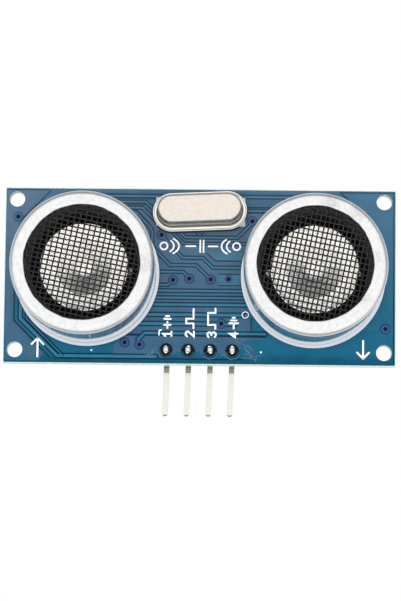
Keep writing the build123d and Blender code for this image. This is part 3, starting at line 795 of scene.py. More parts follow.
# Bright copper areas under thin mask
plate("front_area", [grow([(0.95, 2.75), (4.9, 2.75), (4.95, 1.85), (1.85, 1.85)])], 0.05, 0.07, M["mask_trace"], "solder_mask")
plate("front_box", [grow([(2.25, 0.12), (4.85, 0.12), (4.85, -1.05), (2.25, -1.05)]), circle(3.31, -0.38, 0.2, 20)], 0.05, 0.07, M["mask_trace"], "solder_mask")

# Via rings and their tented holes
R1, R2, R3, R4 = Geo(), Geo(), Geo(), Geo()
for side in ("F", "B"):
    for x, z in ALLV:
        # a dark ring round each via ring: painted shade
        R1.add(*lathe([(0.48, 0.05), (0.50, 0.068), (0.575, 0.068), (0.60, 0.05)], x, z, 40, side))
        R2.add(*lathe([(0.21, 0.02), (0.235, 0.088), (0.30, 0.100), (0.44, 0.100), (0.49, 0.09), (0.53, 0.03)], x, z, 40, side))
        (R4 if side == "F" and abs(x + 0.11) < 0.05 else R3).add(*lathe([(0, 0.084), (0.10, 0.085), (0.20, 0.087), (0.24, 0.094)], x, z, 24, side))
R1.make("via_gaps", M["mask_gap"], "solder_mask")
R2.make("via_rings", M["mask_ring"], "solder_mask")
R3.make("via_plugs", M["mask_hole"], "solder_mask")
R4.make("via_tent", M["mask_ring"], "solder_mask")

# ------------------------------------------------------------------ printed marks: generic pictograms only
S = Geo()
SW, SH0, SH1 = 0.19, 0.075, 0.105


def stroke(pts, w=SW, side="F"):
    strip(S, pts, w, SH0, SH1, side, slope=0.3)


def stroke_ring(cx, cz, r, w=SW, side="F", n=28):
    strip(S, circle(cx, cz, r, n), w, SH0, SH1, side, closed=True, slope=0.3)


# echo pictogram between the crystal and the traces: source, waves, surface, waves, source
zc = 3.42
stroke_ring(-4.2, zc, 0.42)
for x, r in ((-4.2, 1.15), (-4.2, 1.75)):
    stroke([(x + r * math.cos(math.radians(a)), zc + r * math.sin(math.radians(a)) * 0.62 / 1.0) for a in range(-52, 53, 13)] if r > 1.5 else
           [(x + r * math.cos(math.radians(a)), zc + r * math.sin(math.radians(a)) * 0.72) for a in range(-50, 51, 12)])
stroke([(-1.65, zc), (-0.55, zc)])
stroke([(0.0, zc + 0.68), (0.0, zc - 0.68)])
stroke([(0.38, zc + 0.68), (0.38, zc - 0.68)])
stroke([(0.95, zc), (2.0, zc)])
for x, r in ((4.2, 1.15), (4.2, 1.75)):
    stroke([(x - r * math.cos(math.radians(a)), zc + r * math.sin(math.radians(a)) * (0.62 if r > 1.5 else 0.72)) for a in range(-50, 51, 12)])
stroke_ring(4.2, zc, 0.42)
# arrow out at the transmitter, arrow in at the receiver
stroke([(-18.6, -9.55), (-18.6, -7.42)], 0.21)
stroke([(-19.28, -8.12), (-18.6, -7.42), (-17.92, -8.12)], 0.21)
stroke([(18.85, -7.35), (18.85, -9.42)], 0.21)
stroke([(18.17, -8.72), (18.85, -9.42), (19.53, -8.72)], 0.21)


def rot_glyph(cx, z0, pts, w=0.2):
    """Strokes given as (along, across) for a mark that reads upwards: along is +Z, across is -X."""
    stroke([(cx - v, z0 + u) for u, v in pts], w)


def digit(cx, z0, d, h=0.95, wd=0.56):
    H, Wd = h / 2, wd
    shapes = {
        1: [[(0.05, 0.5), (Wd * 0.55, 1), (Wd * 0.55, -1)], [(0.08, -1), (Wd, -1)]],
        2: [[(0, 0.6), (0.12, 0.92), (Wd * 0.55, 1), (Wd * 0.95, 0.8), (Wd, 0.35), (0, -1), (Wd, -1)]],
        3: [[(0, 0.75), (0.2, 1), (Wd * 0.75, 1), (Wd, 0.6), (Wd * 0.8, 0.12), (Wd * 0.35, 0.03)],
            [(Wd * 0.8, 0.12 - 0.12), (Wd, -0.5), (Wd * 0.75, -1), (0.15, -1), (0, -0.75)]],
        4: [[(Wd * 0.75, -1), (Wd * 0.75, 1), (0, -0.35), (Wd, -0.35)]],
    }
    for s in shapes[d]:
        rot_glyph(cx, z0, [(u, v * H) for u, v in s])


digit(-3.68, -7.1, 1)
digit(-1.1, -7.05, 2)
digit(1.42, -7.1, 3)
digit(3.95, -7.1, 4)
# supply: plus sign and bar
rot_glyph(-3.68, -6.1, [(0, 0), (0.72, 0)])
rot_glyph(-3.68, -6.1, [(0.36, 0.38), (0.36, -0.38)])
rot_glyph(-3.68, -5.05, [(0, 0.38), (0, -0.38)])
rot_glyph(-3.68, -5.05 + 0.32, [(0, 0.2), (0, -0.2)])
# pulse in: one short pulse
rot_glyph(-1.1, -6.1, [(0, -0.42), (0.55, -0.42), (0.55, 0.42), (1.1, 0.42), (1.1, -0.42), (2.25, -0.42)])
# pulse out: long pulse
rot_glyph(1.42, -6.15, [(0, -0.42), (0.45, -0.42), (0.45, 0.42), (1.85, 0.42), (1.85, -0.42), (2.35, -0.42)])
# ground symbol
rot_glyph(3.95, -6.1, [(0, 0), (0.62, 0)])
rot_glyph(3.95, -5.48, [(0, 0.5), (0, -0.5)])
rot_glyph(3.95, -5.48 + 0.32, [(0, 0.32), (0, -0.32)])
rot_glyph(3.95, -5.48 + 0.64, [(0, 0.13), (0, -0.13)])
# pin-one tick
stroke([(-4.63, -6.92), (-4.63, -6.42), (-4.36, -6.32)], 0.15)
stroke_ring(*OPEN_VIA, 0.36, 0.1)
S.make("front_marks", M["silk"], "solder_mask", sharp=50)
dots = Geo()
for x, z, r in ((-12.4, -8.75, 0.11), (7.1, -8.8, 0.13)):
    dots.add(*lathe([(0, 0.14), (r * 0.6, 0.12), (r * 0.95, 0.07), (r, 0.03)], x, z, 16))
dots.make("front_dots", M["silk"], "solder_mask")
# flux left over from hand soldering round the header joints
fx = Geo()
fr = random.Random(12)


def wander(x, z, ang, n, step, turn, lo=-9.9):
    pts = [(x, z)]
    for _ in range(n):
        ang += fr.uniform(-turn, turn)
        x += step * math.cos(ang)
        z += step * math.sin(ang)
        if z < lo:
            ang = abs(ang)
            z = lo
        pts.append((x, z))
    return pts


for cx_, rr_, a0, a1 in ((1.27, 0.98, -150, -40), (1.27, 1.02, 165, 225), (3.81, 1.00, -150, -25), (3.81, 1.14, 25, 75), (1.27, 0.98, 35, 75), (-3.81, 1.02, 195, 245)):
    strip(fx, [(cx_ + rr_ * (1 + 0.05 * math.sin(t * 0.11)) * math.cos(math.radians(t)), HDR_Z + rr_ * (1 + 0.05 * math.sin(t * 0.17)) * math.sin(math.radians(t))) for t in range(a0, a1, 9)],
          0.12, 0.05, 0.08, slope=0.6)
for x0, z0, an, n, wd in ((5.0, -7.9, -0.55, 9, 0.16), (5.2, -8.35, -0.9, 7, 0.20), (5.45, -7.75, -0.75, 11, 0.12), (5.2, -8.95, -0.25, 7, 0.14), (5.9, -8.3, -1.0, 6, 0.22),
                          (4.9, -9.45, 0.05, 8, 0.12), (6.5, -9.25, -0.2, 4, 0.10), (-4.9, -8.35, 3.75, 7, 0.16), (-5.3, -8.9, 3.8, 5, 0.20), (-5.0, -9.3, 3.1, 5, 0.12), (2.52, -9.2, 0.3, 3, 0.14)):
    strip(fx, wander(x0, z0, an, n, 0.22, 0.30), wd, 0.05, 0.078, slope=0.6)
fx.make("flux_trails", M["flux"], "solder_mask", sharp=50)
ov = Geo()
ov.add(*lathe([(0.15, -1.6), (0.15, 0.03), (0.17, 0.055), (0.24, 0.055), (0.27, 0.03)], *OPEN_VIA, 32))
ov.make("open_via_ring", M["mask_hole"], "solder_mask")


# ------------------------------------------------------------------ transducers
def dent(seed, amp, freq):
    ph = [random.Random(seed + i).uniform(0, 6.28) for i in range(6)]

    def f(a, j, r, h):
        w = sum(math.sin(a * (2 + i * freq) + ph[i]) / (1 + i) for i in range(6))
        return w * amp, 0.0
    return f


def transducer(cx, who, pa, pb, seed, mouth=(0.0, 0.0), flange=(0.0, 0.0), foot=(0.0, 0.0, 0.0)):
    slot = SLOT[who + "_can"]
    # can: outside flange, wall, shoulder, ring, mouth, inside
    prof = [(7.66, 0.02), (8.28, 0.0)]
    prof += [(8.28 + 0.06 * math.sin(math.radians(a)), 0.06 - 0.06 * math.cos(math.radians(a))) for a in (30, 60, 90)]
    prof += [(8.34, 0.34), (8.34, 0.56)]
    prof += [(8.30 + 0.04 * math.cos(math.radians(a)), 0.575 + 0.04 * math.sin(math.radians(a))) for a in (20, 45, 70, 90)]
    prof += [(8.22, 0.62), (8.10, 0.621), (8.004, 0.622), (8.004, 0.66)]
    prof += [(8.004, 0.80), (8.006, 1.2), (8.01, 3.0), (8.018, 6.0), (8.025, 9.0), (8.03, 11.3)]
    prof += [(7.47 + 0.56 * math.cos(math.radians(a)), 11.44 + 0.56 * math.sin(math.radians(a))) for a in range(0, 91, 5)]
    prof += [(7.2, 12.002), (6.9, 12.0), (6.66, 11.99)]
    prof += [(6.56 - 0.10 * math.sin(math.radians(a)), 11.885 + 0.10 * math.cos(math.radians(a))) for a in (15, 35, 55, 75, 90)]
    prof += [(6.455, 11.7), (6.455, 11.52), (6.52, 11.455), (7.4, 11.45), (7.6, 11.3), (7.65, 11.0), (7.65, 0.4), (7.66, 0.02)]
    wob = dent(seed, 0.006, 1.7)

    def w2(a, j, r, h):
        dr, dh = wob(a, j, r, h)
        k = 1.0
        if r < 6.8 and h > 11.3:
            k = 2.6           # the mouth's edge is the least even
            dr += mouth[0] * math.cos(a) + mouth[1] * math.sin(a)
            dr += 0.010 * math.sin(a * 13 + seed) * math.sin(a * 5.0 + 1.3)
            nick = noise.noise(Vector((math.cos(a) * 9 + seed, math.sin(a) * 9, 3.0)))
            dr += 0.05 * max(0.0, nick - 0.28)
        if h < 0.7:
            k = 0.5
        if r > 8.06 and h < 0.9:          # the rim and the wall's foot are not quite concentric
            dr += flange[0] * math.cos(a) + flange[1] * math.sin(a)
        elif r > 7.9 and h < 11:
            t = 1 - h / 11.0
            dr += (foot[0] * math.cos(a) + foot[1] * math.sin(a) - foot[2]) * t
        nz = noise.noise(Vector((math.cos(a) * 3 + seed, math.sin(a) * 3, h * 0.6)))
        return dr * k + 0.004 * nz * (1 if r > 7 else 0), 0.010 * noise.noise(Vector((math.cos(a) * 2, math.sin(a) * 2 + seed, r)))  if h > 11.4 else 0.0
    v, f = lathe(prof, cx, 0, 256, wobble=w2, closed=True)
    obj_from(who + "_can_drawn", v, f, M["can_" + who], slot, replaces=(who + "_can",), sharp=40)

    # woven wire mesh
    g = Geo()
    rad, amp, mh = 0.086, 0.070, 11.30
    turn = math.radians(-11.6)
    ct, st = math.cos(turn), math.sin(turn)
    R = 7.35
    rr = random.Random(seed)
    for fam in (0, 1):
        step, other = (pa, pb) if fam == 0 else (pb, pa)
        n = int(R / step)
        for i in range(-n, n + 1):
            u = i * step
            L = math.sqrt(max(0, R * R - u * u))
            if L < 0.8:
                continue
            m = max(4, int(2 * L / (other / 4)))
            du = rr.uniform(-0.012, 0.012)
            ringpts = []
            for s in range(m + 1):
                t = -L + 2 * L * s / m
                ph = t / other * math.pi
                hgt = amp * math.cos(ph) * (1 if (i % 2 == 0) else -1) * (1 if fam == 0 else -1)
                a, b = (u + du + 0.006 * math.sin(t * 1.7 + i), t) if fam == 0 else (t, u + du + 0.006 * math.sin(t * 1.9 + i))
                sag = -0.05 * (1 - (a * a + b * b) / (R * R))
                ringpts.append((a, b, mh + hgt + sag))
            v, f = [], []
            K = 6
            for s, (a, b, h) in enumerate(ringpts):
                for k in range(K):
                    q = 2 * math.pi * k / K
                    o1, o2 = rad * math.cos(q), rad * math.sin(q)
                    aa, bb = (a + o1, b) if fam == 0 else (a, b + o1)
                    v.append(place("F", cx + aa * ct - bb * st, aa * st + bb * ct, h + o2))
            for s in range(len(ringpts) - 1):
                for k in range(K):
                    f.append((s * K + k, s * K + (k + 1) % K, (s + 1) * K + (k + 1) % K, (s + 1) * K + k))
            f.append(tuple(range(K)))
            f.append(tuple(len(v) - K + k for k in range(K)))
            g.add(v, f)
    g.make(who + "_mesh_woven", M["mesh"], SLOT[who + "_mesh"], replaces=(who + "_mesh",), sharp=80)

    # inner housing: a ribbed black cup
    prof = [(0, 0.9), (7.55, 0.9), (7.6, 0.95), (7.6, 11.05), (7.55, 11.1), (6.35, 11.1), (6.25, 11.0), (6.22, 8.2), (6.05, 8.1), (6.05, 3.6), (5.95, 3.2),
            (5.75, 2.9), (5.5, 2.8), (0, 2.8)]
    def hw(a, j, r, h):
        if 6.0 < r < 6.3 and 3.5 < h < 11.05:
            return (-0.05 if (int(a / (2 * math.pi) * 96) % 2) else 0.0), 0.0
        return 0.0, 0.0
    v, f = lathe(prof, cx, 0, 192, wobble=hw)
    obj_from(who + "_housing_cup", v, f, M["housing"], SLOT[who + "_housing"], replaces=(who + "_housing",), sharp=30)

    # resonator cone: boss, flat centre, spun cone, crease, wide rim with its rolled edge
    prof = [(0, 5.60), (0.35, 5.60), (0.70, 5.605), (0.80, 5.63)]
    for i in range(1, 12):
        t = i / 11
        prof.append((0.80 + 2.22 * t, 5.63 + 1.00 * t + 0.012 * math.sin(i * 2.2)))
    prof += [(3.07, 6.645), (3.14, 6.69), (3.24, 6.705)]
    for i in range(1, 9):
        t = i / 8
        prof.append((3.24 + 1.50 * t, 6.705 + 0.42 * t + 0.01 * math.sin(i * 1.7)))
    prof += [(4.82, 7.17), (4.90, 7.20), (4.98, 7.19), (5.04, 7.15), (5.05, 7.08), (5.05, 7.02), (4.98, 6.98), (4.75, 6.9), (3.15, 6.48), (0.92, 5.47), (0.90, 5.3),
             (0.90, 4.5), (0.86, 4.45), (0, 4.45)]
    v, f = lathe(prof, cx, 0, 160, wobble=lambda a, j, r, h: (0.0, (0.03 * noise.noise(Vector((math.cos(a) * 1.3, math.sin(a) * 1.3 + seed, r * 0.7))) * min(1, r / 2)) if h > 5.5 else 0.0))
    obj_from(who + "_cone_spun", v, f, M["cone"], SLOT[who + "_cone"], replaces=(who + "_cone",), sharp=45)

    for part, mat in (("potting", "potting"), ("support_ring", "silicone"), ("piezo", "piezo"), ("diaphragm", "diaphragm"), ("terminals", "terminal"), ("lead_wires", "wire")):
        repaint(who + "_" + part, M[mat])

    # solder at the back: concave cones with uneven skirts
    g = Geo()
    for s in (-1, 1):
        x0 = cx + s * 5.0
        rs = random.Random(seed + s)
        e1, e2 = rs.uniform(0, 6.28), rs.uniform(0.02, 0.05)
        prof = [(1.12, 0.02), (1.10, 0.06), (0.98, 0.14), (0.82, 0.27), (0.68, 0.46), (0.57, 0.70), (0.49, 0.92), (0.43, 1.10), (0.405, 1.16), (0.40, 1.12)]
        v, f = lathe(prof, x0, 0, 48, "B", wobble=lambda a, j, r, h: (e2 * math.sin(a * 2 + e1) * r, 0.03 * math.sin(a + e1) * h))
        g.add(v, f)
    g.make(who + "_solder_joints", M["solder"], SLOT[who + "_solder"], replaces=(who + "_solder",), sharp=60)


transducer(-13.0, "transmitter", 0.63, 0.532, 3, (0.0, 0.0), (0.0, 0.0), (-0.05, 0.02, 0.06))
transducer(13.0, "receiver", 0.532, 0.62, 8, (-0.024, 0.036), (0.09, 0.0), (0.0, 0.0, 0.04))


# ------------------------------------------------------------------ quartz crystal
def stadium(L, Wd, n=24):
    """Outline of a slot, centred, as (x, z) with its outward normals."""
    r = Wd / 2
    c = L / 2 - r
    out = []
    for k in range(n + 1):
        a = math.radians(-90 + 180 * k / n)
        out.append((c, 0, math.cos(a), math.sin(a)))
    for k in range(n + 1):
        a = math.radians(90 + 180 * k / n)
        out.append((-c, 0, math.cos(a), math.sin(a)))
    return out


def slot_sweep(profile, L0, cx, cz, n=28, tilt=0.0):
    """Sweeps a (half-width, height) profile round a slot whose straight part stays L0 long."""
    v, f = [], []
    ring = stadium(L0 + 2.0, 2.0, n)
    m = len(ring)
    ct, st = math.cos(tilt), math.sin(tilt)
    for r, h in profile:
        for (bx, bz, nx, nz) in ring:
            x, z = bx + nx * r, bz + nz * r
            v.append(place("F", cx + x * ct - z * st, cz + x * st + z * ct, h))
    for j in range(len(profile) - 1):
        for i in range(m):
            k = (i + 1) % m
            f.append((j * m + i, j * m + k, (j + 1) * m + k, (j + 1) * m + i))
    top = len(profile) - 1
    f.append(tuple(top * m + i for i in range(m)))
    f.append(tuple(range(m - 1, -1, -1)))
    return v, f


CX, CZ, TILT = -0.08, 7.4, math.radians(2.7)
# header plate with its rounded weld edge
prof = [(2.00, 0.30), (2.12, 0.30), (2.18, 0.34), (2.198, 0.40), (2.198, 0.48), (2.18, 0.52), (2.1, 0.525)]
v, f = slot_sweep(prof, 6.4, CX, CZ, tilt=TILT)
obj_from("crystal_base_plate", v, f, M["crystal"], SLOT["crystal_base"], replaces=("crystal_base",), sharp=40)
# cover: flange, foot radius, wall, draw step, rounded shoulder and a flat top with a slight crown
prof = [(2.13, 0.53), (2.2, 0.53), (2.24, 0.56), (2.24, 0.70), (2.23, 0.735), (2.205, 0.75), (2.115, 0.75), (2.095, 0.735), (2.07, 0.70), (2.04, 0.695), (1.99, 0.71),
        (1.90, 0.715), (1.85, 0.73), (1.825, 0.78), (1.815, 0.9), (1.805, 1.3), (1.79, 1.42), (1.735, 1.47), (1.72, 1.55), (1.712, 2.2),
        (1.70, 2.9), (1.69, 3.45)]
prof += [(1.34 + 0.35 * math.cos(math.radians(a)), 3.50 + 0.42 * math.sin(math.radians(a))) for a in range(0, 91, 10)]
prof += [(1.25, 3.932), (1.0, 3.938), (0.7, 3.944), (0.3, 3.948)]
v, f = slot_sweep(prof, 6.4, CX, CZ, tilt=TILT)
obj_from("crystal_cover", v, f, M["crystal"], SLOT["crystal_can"], replaces=("crystal_can",), sharp=45)
# a thin dark ring on the board round the crystal's flange: painted contact shadow
sh = Geo()
arc_ = [(CX + math.cos(TILT) * u - math.sin(TILT) * w, CZ + math.sin(TILT) * u + math.cos(TILT) * w) for u, w in
        [(3.2 + 2.30 * math.cos(math.radians(t)), 2.30 * math.sin(math.radians(t))) for t in range(-90, 91, 9)] +
        [(-3.2 + 2.30 * math.cos(math.radians(t)), 2.30 * math.sin(math.radians(t))) for t in range(90, 271, 9)]]
strip(sh, arc_, 0.13, 0.07, 0.10, slope=0.4, closed=True)
sh.make("crystal_contact_shadow", M["mask_gap"], "solder_mask", sharp=50)
# insulating pad
refined("crystal_insulator", M["insulator"], 0.05, 2)
for nd, mt in (("crystal_leads", "pin"), ("crystal_seals", "seal"), ("crystal_clips", "lead"), ("crystal_blank", "quartz")):
    repaint(nd, M[mt])
g = Geo()
for x0, z0 in ((-2.437, 7.285), (2.437, 7.515)):
    prof = [(0.80, 0.02), (0.78, 0.06), (0.66, 0.13), (0.52, 0.24), (0.40, 0.40), (0.31, 0.60), (0.25, 0.78), (0.22, 0.84), (0.215, 0.80)]
    g.add(*lathe(prof, x0, z0, 40, "B", wobble=lambda a, j, r, h: (0.03 * math.sin(a * 2 + x0) * r, 0.02 * math.sin(a) * h)))
g.make("crystal_joints", M["solder"], SLOT["crystal_solder"], replaces=("crystal_solder",), sharp=60)

# ------------------------------------------------------------------ header
refined("header_housing", M["header"], 0.06, 2)
for nd in ("supply_pin", "trigger_pin", "echo_pin", "ground_pin"):
    ob = refined(nd, M["pin"], 0.05, 2, angle=20)
    lean = {"supply_pin": 0.01, "trigger_pin": 0.05, "echo_pin": 0.04, "ground_pin": 0.08}[nd]
    for vt in ob.data.vertices:      # hand-bent a little to one side below the board
        t = min(1.0, max(0.0, (-9.3 * MM - vt.co.z) / (1.0 * MM)))
        u = min(1.0, max(0.0, (-10.3 * MM - vt.co.z) / (5.6 * MM)))
        vt.co.x -= (0.15 * t + lean * u) * MM
g = Geo()
gp = Geo()


def oval(a, rx, rz):
    return rx * rz / math.sqrt((rz * math.cos(a)) ** 2 + (rx * math.sin(a)) ** 2)


for i, (x, z) in enumerate(PADS):
    rs = random.Random(70 + i)
    e1, e2 = rs.uniform(0, 6.28), rs.uniform(0.02, 0.05)
    prof = [(0.785, 0.02), (0.78, 0.05), (0.72, 0.09), (0.63, 0.16), (0.55, 0.27), (0.49, 0.42), (0.45, 0.60), (0.42, 0.76), (0.40, 0.84), (0.36, 0.86)]

    def to_oval(a, j, r, h):
        t = max(0.0, min(1.0, (h - 0.1) / 0.6))
        o = oval(a, 0.34, 0.52) - 0.42
        return (e2 * math.sin(a * 2 + e1) * r * (1 - t) + o * t, 0.02 * math.sin(a + e1) * h)
    v, f = lathe(prof, x, z, 48, "F", wobble=to_oval)
    g.add(v, f)
    tip = [(1.0, 0.70), (1.0, 0.90), (0.95, 0.955), (0.82, 0.985), (0.5, 0.99), (0.0, 0.985)]
    k = rs.uniform(-0.25, 0.25)
    v, f = lathe([(max(0.0, r), h) for r, h in tip], 0, 0, 32, "F", wobble=lambda a, j, r, h: (r * (oval(a, 0.26, 0.48) - 1.0), 0.03 * math.sin(a * 2 + e1) * (r < 0.9)))
    ck, sk = math.cos(k), math.sin(k)
    v = [(x + px * ck - pz * sk, py, z + px * sk + pz * ck) for px, py, pz in v]
    gp.add(v, f)
# front joints in the darker solder copy: painted dark reflection
g.make("header_joints", M["front_solder"], SLOT["header_solder"], replaces=("header_solder",), sharp=60)
# the lighter pin ends: painted highlight
gp.make("pin_tips", M["pin_tip"], SLOT["supply_pin"], sharp=40)

# ------------------------------------------------------------------ back of the board
for ic in ("amplifier_ic", "controller_ic", "driver_ic"):
    refined(ic + "_body", M["epoxy"], 0.05, 2)
    refined(ic + "_leads", M["lead"], 0.025, 1)
refined("transistor_body", M["epoxy"], 0.04, 2)
refined("transistor_leads", M["lead"], 0.02, 1)
refined("resistor_bodies", M["resistor"], 0.03, 1)
refined("resistor_ends", M["chip_end"], 0.05, 2)
refined("capacitor_bodies", M["capacitor"], 0.04, 2)
refined("capacitor_ends", M["chip_end"], 0.06, 2)

# pads under the leads and chips, traces and component outlines (no lettering)
BP = Geo()
BT = Geo()
BG = Geo()
BS = Geo()
RES = [(-5.4, 4.6), (-5.4, 3.0), (-5.4, 1.4), (-5.4, -2.0), (-5.4, -3.6), (-5.4, -5.2), (5.5, -0.2), (5.5, -1.8), (5.5, -3.4), (-13.0, 6.4), (-9.0, 8.6), (13.0, -7.3)]
CAP = [(5.5, 1.6), (5.5, -5.0), (-5.4, 8.2), (4.6, 8.9), (-15.8, -6.6), (-12.6, -6.6), (16.2, -7.3), (13.0, 7.4)]
ICS = [(-13.0, 0.0, 7, 8.65), (0.0, -1.3, 7, 8.65), (13.0, 0.0, 8, 9.9)]


def pad(x, z, w, d):
    strip(BP, [(x - (w - d) / 2, z), (x + (w - d) / 2, z)] if w > d else [(x, z - (d - w) / 2), (x, z + (d - w) / 2)], min(w, d), 0.02, 0.06, "B", caps=True, slope=0.2)


def wire(pts, w=0.2):
    # a wider dark strip under each back trace: painted shade along its edges
    strip(BG, pts, w + 0.26, 0.026, 0.036, "B", slope=0.2)
    strip(BT, pts, w, 0.032, 0.052, "B", slope=0.3)


def ink(pts, w=0.15, closed=False):
    strip(BS, pts, w, 0.045, 0.075, "B", slope=0.3, closed=closed, caps=not closed)


for cx_, cz_, n, ln in ICS:
    for sx in (-1, 1):
        for q in range(n):
            pad(cx_ + sx * 2.72, cz_ + (q - (n - 1) / 2) * 1.27, 1.25, 0.62)
    yy = ln / 2 + 0.22
    ink([(cx_ - 1.6, cz_ - yy), (cx_ + 1.6, cz_ - yy)])
    ink([(cx_ - 1.6, cz_ + yy), (cx_ - 0.45, cz_ + yy), (cx_ - 0.3, cz_ + yy - 0.0), (cx_ - 0.3, cz_ + yy + 0.28), (cx_ + 0.3, cz_ + yy + 0.28), (cx_ + 0.3, cz_ + yy), (cx_ + 1.6, cz_ + yy)])
    ink(circle(cx_ + 2.7, cz_ + yy + 0.12, 0.16, 16), 0.12, True)
for x, z in RES + CAP:
    for sx in (-1, 1):
        pad(x + sx * 0.78, z, 0.62, 0.98)
    for sx in (-1, 1):
        ink([(x + sx * 0.45, z + 0.66), (x + sx * 1.3, z + 0.66), (x + sx * 1.3, z - 0.66), (x + sx * 0.45, z - 0.66)], 0.11)
for x, z in ((6.7, 6.55), (6.7, 4.65), (4.5, 5.6)):
    pad(x, z, 0.95, 0.72)
ink([(4.85, 7.25), (6.35, 7.25)], 0.13)
ink([(4.85, 3.95), (6.35, 3.95)], 0.13)
for x in (-18, -8, 8, 18):
    ink(circle(x, 0, 1.38, 36), 0.13, True)
for cx_ in (-13, 13):
    for a0, a1 in (((62, 168), (194, 228), (256, 300)) if cx_ < 0 else ((104, 128), (30, 74), (10, 24), (222, 250), (310, 348))):
        ink([(cx_ + 7.85 * math.cos(math.radians(t)), 7.85 * math.sin(math.radians(t))) for t in range(a0, a1 + 1, 2)], 0.13)
ink([(-5.4, -7.1), (5.4, -7.1)], 0.14)
ink([(-5.4, -7.1), (-5.4, -9.8)], 0.14)
ink([(5.4, -7.1), (5.4, -9.8)], 0.14)
ink([(-3.6, 9.1), (-1.2, 9.1)], 0.12)
ink([(1.2, 9.1), (3.4, 9.1)], 0.12)

# amplifier to the middle parts
for pts in ([(-9.6, 3.81), (-8.3, 3.81), (-7.5, 4.6), (-6.3, 4.6)], [(-9.6, 2.54), (-8.6, 2.54), (-7.9, 3.0), (-6.3, 3.0)],
            [(-9.6, -2.54), (-8.4, -2.54), (-7.4, -3.6), (-6.3, -3.6)], [(-9.6, -3.81), (-8.7, -3.81), (-7.3, -5.2), (-6.3, -5.2)],
            [(-8.0, 1.2), (-7.6, 1.7), (-7.3, 1.9), (-6.8, 1.4), (-6.3, 1.4)], [(-8.0, -1.2), (-7.2, -2.0), (-6.3, -2.0)],
            [(-4.5, 4.6), (-3.9, 4.6), (-3.6, 4.3), (-3.6, 2.9), (-3.3, 2.51)], [(-4.5, 3.0), (-4.2, 2.7), (-4.2, 1.6), (-3.8, 1.24), (-3.3, 1.24)],
            [(-4.5, 1.4), (-4.5, 0.6), (-3.9, -0.03), (-3.3, -0.03)], [(-4.5, -2.0), (-3.9, -1.4), (-3.8, -1.3), (-3.3, -1.3)], [(-4.5, -3.6), (-4.0, -3.6), (-3.8, -3.84), (-3.3, -3.84)],
            [(-4.5, -5.2), (-3.9, -5.2), (-3.3, -5.11)],
            [(3.3, 2.51), (4.0, 2.51), (4.6, 1.9), (4.65, 1.6)], [(3.3, -0.03), (4.2, -0.03), (4.6, -0.2)], [(3.3, -1.3), (4.0, -1.3), (4.5, -1.8), (4.65, -1.8)],
            [(3.3, -2.57), (3.9, -2.57), (4.6, -3.3)], [(3.3, -5.11), (4.0, -5.11), (4.6, -5.0)],
            [(6.3, 1.6), (6.9, 2.2), (8.4, 2.2), (8.75, 1.905), (9.6, 1.905)], [(6.3, -3.4), (7.4, -3.4), (8.6, -4.445), (9.6, -4.445)], [(6.3, -1.8), (7.3, -2.6), (8.6, -2.6), (9.0, -3.175), (9.6, -3.175)],
            [(8.0, 1.2), (8.4, 1.5), (8.9, 0.635), (9.6, 0.635)], [(8.0, -1.2), (8.5, -1.5), (9.0, -0.9), (9.1, -0.635), (9.6, -0.635)],
            [(16.4, 0.635), (16.7, 0.635), (17.0, 0.5)], [(16.4, 3.175), (17.3, 3.175), (19.6, 5.4), (19.6, 7.0), (18.2, 8.4), (14.2, 8.4), (13.9, 7.9)],
            [(16.4, -3.175), (18.4, -3.175), (20.3, -5.0), (21.2, -5.8)], [(16.4, -4.445), (17.6, -4.445), (18.6, -5.4), (18.6, -7.0), (18.3, -7.3), (17.0, -7.3)],
            [(9.6, 4.445), (8.8, 4.445), (8.0, 5.2), (8.0, 6.9), (8.6, 7.5), (12.0, 7.5)], [(6.9, 6.55), (7.4, 7.0), (7.4, 8.6), (6.9, 8.9), (5.5, 8.9)],
            [(-16.4, 3.81), (-17.6, 3.81), (-20.3, 6.2), (-20.9, 6.6)], [(-16.4, 2.54), (-18.0, 2.54), (-21.3, 5.6), (-21.3, 6.2)], [(-16.4, -1.27), (-16.8, -1.27), (-17.3, -0.8)],
            [(-16.4, -3.81), (-17.4, -3.81), (-18.0, -4.6), (-18.0, -6.2), (-17.6, -6.6), (-16.7, -6.6)], [(-14.9, -6.6), (-13.5, -6.6)], [(-11.7, -6.6), (-10.2, -6.6), (-8.9, -7.6)],
            [(-9.6, 1.27), (-10.0, 1.27)], [(-12.1, 6.4), (-10.2, 6.4), (-8.6, 8.0), (-8.2, 8.5)], [(-13.9, 6.4), (-17.2, 6.4), (-18.6, 5.0)], [(-8.1, 8.6), (-6.3, 8.3)],
            [(-4.5, 8.2), (-3.7, 7.7), (-3.1, 7.4)], [(3.1, 7.6), (3.6, 8.3), (3.7, 8.8)], [(-2.4, 6.5), (-2.4, 4.9), (-2.9, 3.9), (-3.3, 2.6)], [(2.4, 6.6), (2.4, 4.8), (3.0, 3.6), (3.3, 2.6)],
            [(12.1, -7.3), (10.4, -7.3), (8.9, -8.7), (5.0, -8.7)], [(-3.81, -7.8), (-3.81, -6.7), (-3.3, -6.2)], [(-1.27, -7.8), (-1.27, -6.9), (-1.9, -6.3)], [(1.27, -7.8), (1.27, -6.9), (2.2, -5.9)]):
    wire(pts, 0.22)
for pts in ([(-18.9, -9.6), (-7.6, -9.6), (-6.2, -9.0), (-4.8, -8.75)], [(18.9, -9.5), (7.6, -9.5), (6.4, -9.2), (4.9, -8.9)], [(-19.3, 9.4), (-7.0, 9.4)], [(6.5, 9.6), (19.3, 9.6)]):
    wire(pts, 0.55)
BG.make("back_gaps", M["mask_gap"], "solder_mask", sharp=50)
BT.make("back_traces", M["mask_trace"], "solder_mask", sharp=50)
BP.make("back_pads", M["lead"], SLOT["header_solder"], sharp=50)
BS.make("back_marks", M["silk"], "solder_mask", sharp=50)
